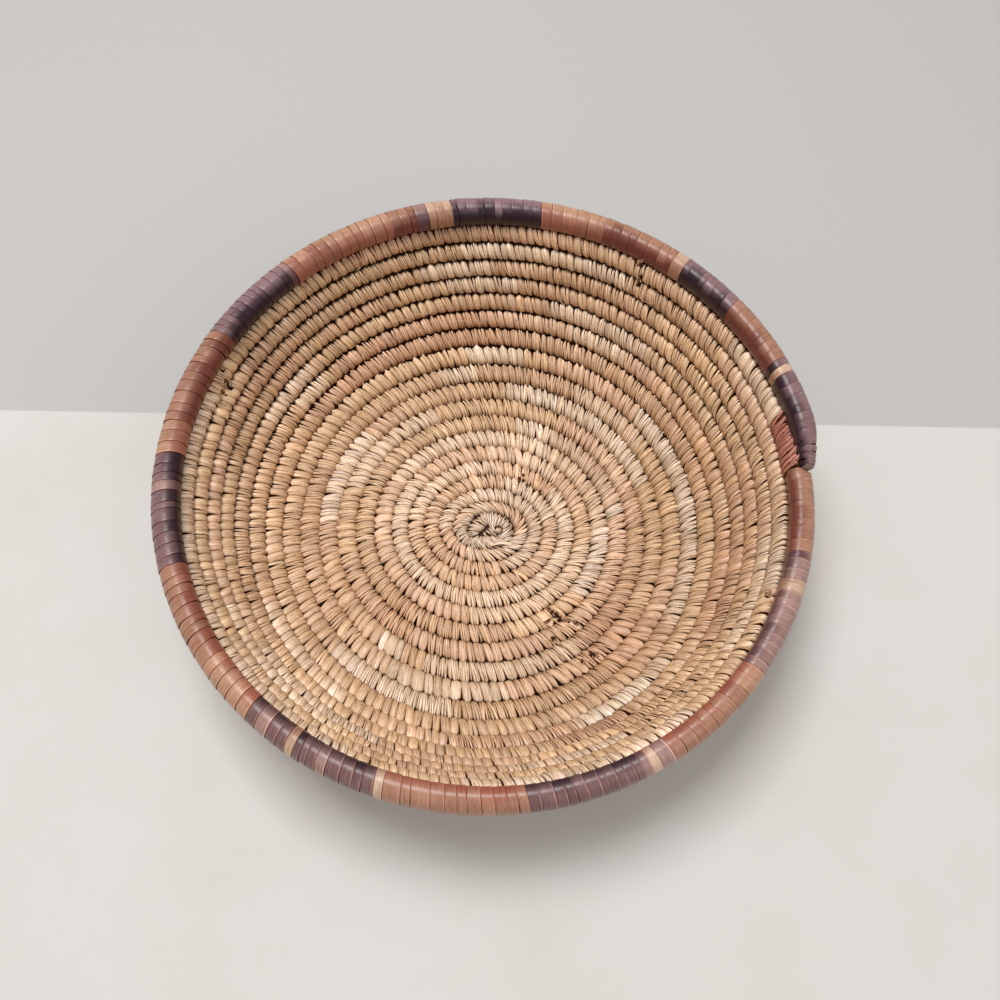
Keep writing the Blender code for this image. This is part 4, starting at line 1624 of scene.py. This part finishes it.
def close_the_tail(material):
    """The drawn-in tip of the last strip."""
    shape = bmesh.new()
    bmesh.ops.create_uvsphere(shape, u_segments=TAIL_TIP_SIDES, v_segments=TAIL_TIP_RINGS, radius=1.0)
    tip_turn = END_TURN - turns_for(TAIL_TIP_INSET, END_TURN)
    around = []
    drawn_in = []
    for corner in shape.verts:
        turn = tip_turn + turns_for(corner.co.z * TAIL_TIP_LENGTH, END_TURN)
        angle = np.arctan2(corner.co.x, corner.co.y)
        folds = 1.0 + TAIL_FOLD * cos(TAIL_FOLDS * angle)
        radius = corner.co.xy.length * (rim_radius(tip_turn, angle) + TAIL_TIP_COVER) * folds
        around.append(angle * TAIL_TIP_THICKNESS / 2 / MM)
        drawn_in.append(corner.co.z * TAIL_TIP_LENGTH / MM)
        corner.co = Vector(rim_placed(turn, radius, angle))
    mesh = as_mesh(shape, "tail_tip")
    add_one_tone(mesh, np.array(RIM_TONES["mauve"][1]) * TAIL_TIP_TONE_SHARE)
    add_map(mesh, np.array(around), np.array(drawn_in))
    finished(mesh, read_places(mesh), PLAIN_EDGE, material, ["rim_strip_28_purple"])


# The bundle in the rim: how finely it is made, and how far inside the windings it lies.
RIM_GRASS_STATIONS = 360
RIM_GRASS_INSET = 0.0011


def grass_in_the_rim(material):
    """The bundle inside the rim's windings, in its painted dark shade."""
    shape = bmesh.new()
    bmesh.ops.create_grid(shape, x_segments=RIM_GRASS_STATIONS, y_segments=BUNDLE_SIDES, size=0.5)
    first = END_TURN - 1.0 - turns_for(RIM_GRASS_INSET, END_TURN)
    last = END_TURN - turns_for(RIM_GRASS_INSET, END_TURN)
    for corner in shape.verts:
        turn = first + (last - first) * (corner.co.x + 0.5)
        angle = (corner.co.y + 0.5) * tau % tau
        corner.co = Vector(rim_placed(turn, rim_radius(turn, angle) - RIM_GRASS_INSET, angle))
    closed_bundle(shape, "rim_grass", material, "rim_core")


def wind_rim(material):
    """All the strips of the rim, one after the other, and the tail's tip."""
    rng = np.random.default_rng(RIM_SEED)
    start = RIM_START_TURN
    for number, (dye, covered) in enumerate(RIM_STRIPS, start=1):
        end = END_TURN if covered is None else start + radians(covered) / tau
        node = f"rim_strip_{number:02d}_{dye}"
        windings = plan_windings(rng, max(start, END_TURN - 1.0), end, dye)
        wind_strip(f"windings_{number:02d}_{dye}", windings, node, material)
        start = end
    close_the_tail(material)


# The leaf's own marks: fibres and strands in marks per millimetre of strip, and blotches per metre of basket.
FIBRES_ACROSS = 2.6
FIBRES_ALONG = 0.11
STRANDS_ACROSS = 1.3
STRANDS_ALONG = 0.07
BLOTCHES = 45.0
# Which part of a noise pattern is spread from dark to light.
NOISE_PART = (0.3, 0.7)
# How much less a fibre is lighter than it would be darker, and how light and dark the blotches are.
LIGHT_STREAK_SHARE = 0.8
BLOTCH_LIGHTS = (0.88, 1.1)
# The dark lines between strands: from fully dark to none, as a distance in the strands' pattern.
LINE_PART = (0.004, 0.03)
# How sharply and how strongly the painted shade beside a crease, in the crease and in the groove show.
NEAR_CREASE_POWER = 1.3
NEAR_CREASE_SHARE = 0.85
CREASE_POWER = 2.7
GROOVE_POWER = 1.3
GROOVE_STRENGTH_SHARE = 0.9
FIBRE_BUMP_SHARE = 0.5
FIBRE_HEIGHT = 0.00015
# The bundles' grass, painted dark brown as painted shade.
STEMS = 900.0
STEM_PART = (0.35, 0.65)
SHADED_DARK_STEM = paint(30, 13, 6)
SHADED_LIGHT_STEM = paint(68, 35, 15)


def calculate(tree, operation, first, second):
    """A number worked out from two others, each a socket or a plain number."""
    made = tree.nodes.new("ShaderNodeMath")
    made.operation = operation
    for socket, value in zip(made.inputs, (first, second)):
        if isinstance(value, bpy.types.NodeSocket):
            tree.links.new(value, socket)
        else:
            socket.default_value = value
    return made.outputs[0]


def mixed(tree, share, first, second, blend="MIX"):
    """Two colours mixed, each a socket or a plain colour."""
    made = tree.nodes.new("ShaderNodeMix")
    made.data_type = "RGBA"
    made.blend_type = blend
    for socket, value in zip((made.inputs[0], made.inputs[6], made.inputs[7]), (share, first, second)):
        if isinstance(value, bpy.types.NodeSocket):
            tree.links.new(value, socket)
        elif isinstance(value, tuple):
            socket.default_value = (*value, 1.0)
        else:
            socket.default_value = value
    return made.outputs[2]


def noise(tree, place, scale, detail=2.0, roughness=0.5):
    """A cloudy pattern between 0 and 1."""
    made = tree.nodes.new("ShaderNodeTexNoise")
    made.inputs["Scale"].default_value = scale
    made.inputs["Detail"].default_value = detail
    made.inputs["Roughness"].default_value = roughness
    tree.links.new(place, made.inputs["Vector"])
    return made.outputs["Fac"]


def spread(tree, value, part, new_range):
    """A part of a value's range, from low to high, stretched to a new one."""
    made = tree.nodes.new("ShaderNodeMapRange")
    for socket, number in zip(list(made.inputs)[1:5], (*part, *new_range)):
        socket.default_value = number
    tree.links.new(value, made.inputs[0])
    return made.outputs[0]


def warm_shade(tree, value):
    """A tint that is as dark as the value, and warmer the darker it is."""
    made = tree.nodes.new("ShaderNodeCombineColor")
    for socket, power in zip(list(made.inputs)[:3], WARMTH_POWERS):
        tree.links.new(calculate(tree, "POWER", value, power), socket)
    return made.outputs[0]


def new_material(name):
    """An empty material, with its nodes and its shader."""
    made = bpy.data.materials.new(name)
    made.use_nodes = True
    return made, made.node_tree, made.node_tree.nodes["Principled BSDF"]


def strip_place(tree, across_scale, along_scale):
    """The strip's own map in millimetres, drawn out along the strip."""
    where = tree.nodes.new("ShaderNodeUVMap")
    where.uv_map = "strip_map"
    made = tree.nodes.new("ShaderNodeMapping")
    made.inputs["Scale"].default_value = (across_scale, along_scale, 1.0)
    tree.links.new(where.outputs[0], made.inputs[0])
    return made.outputs[0]


def attribute(tree, name, output):
    """What each corner of the mesh was given under this name."""
    made = tree.nodes.new("ShaderNodeAttribute")
    made.attribute_name = name
    return made.outputs[output]


def object_place(tree):
    return tree.nodes.new("ShaderNodeTexCoord").outputs["Object"]


def leaf_material(name, roughness, gloss, fibre_contrast, line_share, crease_share):
    """Split leaf: fibres along the strip, uneven tone, and painted brown shade in the creases and grooves."""
    made, tree, shader = new_material(name)
    fibres = noise(tree, strip_place(tree, FIBRES_ACROSS, FIBRES_ALONG), scale=1.0, detail=3.0, roughness=0.6)
    streak_lights = (1.0 - fibre_contrast, 1.0 + fibre_contrast * LIGHT_STREAK_SHARE)
    streaks = spread(tree, fibres, NOISE_PART, streak_lights)
    clouds = noise(tree, object_place(tree), BLOTCHES, detail=4.0, roughness=0.6)
    blotches = spread(tree, clouds, NOISE_PART, BLOTCH_LIGHTS)
    strands = noise(tree, strip_place(tree, STRANDS_ACROSS, STRANDS_ALONG), scale=1.0)
    beside_line = calculate(tree, "ABSOLUTE", calculate(tree, "SUBTRACT", strands, 0.5), 0.0)
    lines = spread(tree, beside_line, LINE_PART, (1.0 - line_share, 1.0))
    light = calculate(tree, "MULTIPLY", calculate(tree, "MULTIPLY", streaks, lines), blotches)
    tone = mixed(tree, 1.0, attribute(tree, "leaf_tone", "Color"), warm_shade(tree, light), "MULTIPLY")
    tone = darkened(tree, tone, crease_share)
    tree.links.new(tone, shader.inputs["Base Color"])
    shader.inputs["Roughness"].default_value = roughness
    shader.inputs["Specular IOR Level"].default_value = gloss
    bump = tree.nodes.new("ShaderNodeBump")
    bump.inputs["Strength"].default_value = FIBRE_BUMP_SHARE
    bump.inputs["Distance"].default_value = FIBRE_HEIGHT
    tree.links.new(fibres, bump.inputs["Height"])
    tree.links.new(bump.outputs[0], shader.inputs["Normal"])
    return made


def darkened(tree, tone, crease_share):
    """The tone with painted shade: beside each crease, brown in the crease, and dark in the groove."""
    shaded = mixed(tree, 1.0, tone, SHADED_LEAF, "MULTIPLY")
    near_crease = calculate(tree, "POWER", attribute(tree, "crease", "Fac"), NEAR_CREASE_POWER)
    tone = mixed(tree, calculate(tree, "MULTIPLY", near_crease, NEAR_CREASE_SHARE), tone, shaded)
    crease = calculate(tree, "POWER", attribute(tree, "crease", "Fac"), CREASE_POWER)
    tone = mixed(tree, calculate(tree, "MULTIPLY", crease, crease_share), tone, PAINTED_CREASE_SHADE)
    groove = calculate(tree, "POWER", attribute(tree, "groove", "Fac"), GROOVE_POWER)
    return mixed(tree, calculate(tree, "MULTIPLY", groove, GROOVE_STRENGTH_SHARE), tone, PAINTED_DEEP_SHADE)


def painted_shade_bundle_material():
    """The bundles' grass, painted dark brown as painted shade between the stitches."""
    made, tree, shader = new_material("painted_shade_bundle_grass")
    stems = noise(tree, object_place(tree), STEMS)
    tone = mixed(tree, spread(tree, stems, STEM_PART, (0.0, 1.0)), SHADED_DARK_STEM, SHADED_LIGHT_STEM)
    tree.links.new(tone, shader.inputs["Base Color"])
    shader.inputs["Roughness"].default_value = 0.8
    shader.inputs["Specular IOR Level"].default_value = 0.1
    return made


# The stage: a pale mottled floor that turns greyer beyond a line behind the basket.
FLOOR_TONE = paint(211, 208, 204)
FLOOR_MARK_TONE = paint(202, 196, 187)
BEYOND_TONE = paint(186, 183, 181)
FLOOR_HALF_SIZE = 4.0
FLOOR_MARKS = 9.0
FLOOR_MARK_PART = (0.42, 0.72)
FLOOR_MARK_SHARES = (0.0, 0.55)
LINE_PLACE = 0.0718
LINE_LEAN = -0.0114
LINE_SOFTNESS = 0.0006


def floor_material():
    """A matt floor, faintly clouded in front of the line and plain beyond it."""
    made, tree, shader = new_material("pale_floor")
    place = object_place(tree)
    clouds = noise(tree, place, FLOOR_MARKS, detail=4.0, roughness=0.6)
    marks = spread(tree, clouds, FLOOR_MARK_PART, FLOOR_MARK_SHARES)
    front = mixed(tree, marks, FLOOR_TONE, FLOOR_MARK_TONE)
    parts = tree.nodes.new("ShaderNodeSeparateXYZ")
    tree.links.new(place, parts.inputs[0])
    line = calculate(tree, "MULTIPLY", parts.outputs[0], LINE_LEAN)
    beyond = calculate(tree, "SUBTRACT", calculate(tree, "SUBTRACT", parts.outputs[1], line), LINE_PLACE)
    beyond_share = spread(tree, beyond, (-LINE_SOFTNESS, LINE_SOFTNESS), (0.0, 1.0))
    tone = mixed(tree, beyond_share, front, BEYOND_TONE)
    tree.links.new(tone, shader.inputs["Base Color"])
    shader.inputs["Roughness"].default_value = 0.7
    return made


def lay_floor():
    shape = bmesh.new()
    bmesh.ops.create_grid(shape, x_segments=1, y_segments=1, size=FLOOR_HALF_SIZE)
    mesh = as_mesh(shape, "floor")
    mesh.materials.append(floor_material())
    floor = bpy.data.objects.new("floor", mesh)
    bpy.context.scene.collection.objects.link(floor)


# Each lamp's name, its place, how wide it is and its power, and the point that all of them face.
LAMPS = (
    ("overhead_lamp", (-0.34, 0.33, 1.9), 0.78, 27.0),
    ("front_lamp", (0.9, -0.9, 1.3), 1.0, 3.5),
)
LAMP_TARGET = (0.0, 0.0, 0.03)
SKY_TONE = (1.0, 0.99, 0.98, 1.0)
SKY_STRENGTH = 0.475


def hang_lamp(name, place, size, power):
    """A square soft lamp that faces the basket."""
    lamp = bpy.data.lights.new(name, "AREA")
    lamp.shape = "SQUARE"
    lamp.size = size
    lamp.energy = power
    made = bpy.data.objects.new(name, lamp)
    made.location = place
    made.rotation_euler = (Vector(LAMP_TARGET) - Vector(place)).to_track_quat("-Z", "Y").to_euler()
    bpy.context.scene.collection.objects.link(made)


def light_the_stage():
    for name, place, size, power in LAMPS:
        hang_lamp(name, place, size, power)
    world = bpy.data.worlds.new("studio")
    world.use_nodes = True
    sky = world.node_tree.nodes["Background"]
    sky.inputs["Color"].default_value = SKY_TONE
    sky.inputs["Strength"].default_value = SKY_STRENGTH
    bpy.context.scene.world = world


# The camera, as fitted to the rows and the rim.
CAMERA_ELEVATION = radians(66.42)
CAMERA_TILT = radians(1.54)
CAMERA_ROLL = radians(-0.27)
CAMERA_PLACE = Vector((0.00733, 0.0165, 0.5833))
LENS = 37.56
SENSOR = 36.0
NEAREST_SEEN = 0.01
FARTHEST_SEEN = 50.0


def set_up_camera():
    turned = Matrix.Rotation(-CAMERA_TILT, 3, "Y")
    turned = turned @ Matrix.Rotation(pi / 2 - CAMERA_ELEVATION, 3, "X")
    turned = turned @ Matrix.Rotation(CAMERA_ROLL, 3, "Z")
    lens = bpy.data.cameras.new("camera")
    lens.lens = LENS
    lens.sensor_width = SENSOR
    lens.clip_start = NEAREST_SEEN
    lens.clip_end = FARTHEST_SEEN
    camera = bpy.data.objects.new("camera", lens)
    place = turned @ CAMERA_PLACE + Vector((0.0, 0.0, SEAT))
    camera.matrix_world = Matrix.Translation(place) @ turned.to_4x4()
    bpy.context.scene.collection.objects.link(camera)
    bpy.context.scene.camera = camera


def main():
    bpy.context.scene.view_settings.view_transform = "Standard"
    straw = leaf_material(
        "sewn_leaf", roughness=0.4, gloss=0.3, fibre_contrast=0.43, line_share=0.55, crease_share=1.0
    )
    dyed = leaf_material(
        "dyed_leaf", roughness=0.31, gloss=0.42, fibre_contrast=0.28, line_share=0.3, crease_share=0.9
    )
    sew_rows(straw)
    grass = painted_shade_bundle_material()
    bundle_of_grass(grass)
    grass_in_the_rim(grass)
    tie_start_knot(straw)
    pad_under_the_knot(straw)
    paint_knot_gap_shadows(straw)
    bend_ring(straw)
    fold_flap(straw)
    leave_broken_ends(straw)
    raise_loose_fibres(straw)
    wind_rim(dyed)
    lay_floor()
    light_the_stage()
    set_up_camera()


main()
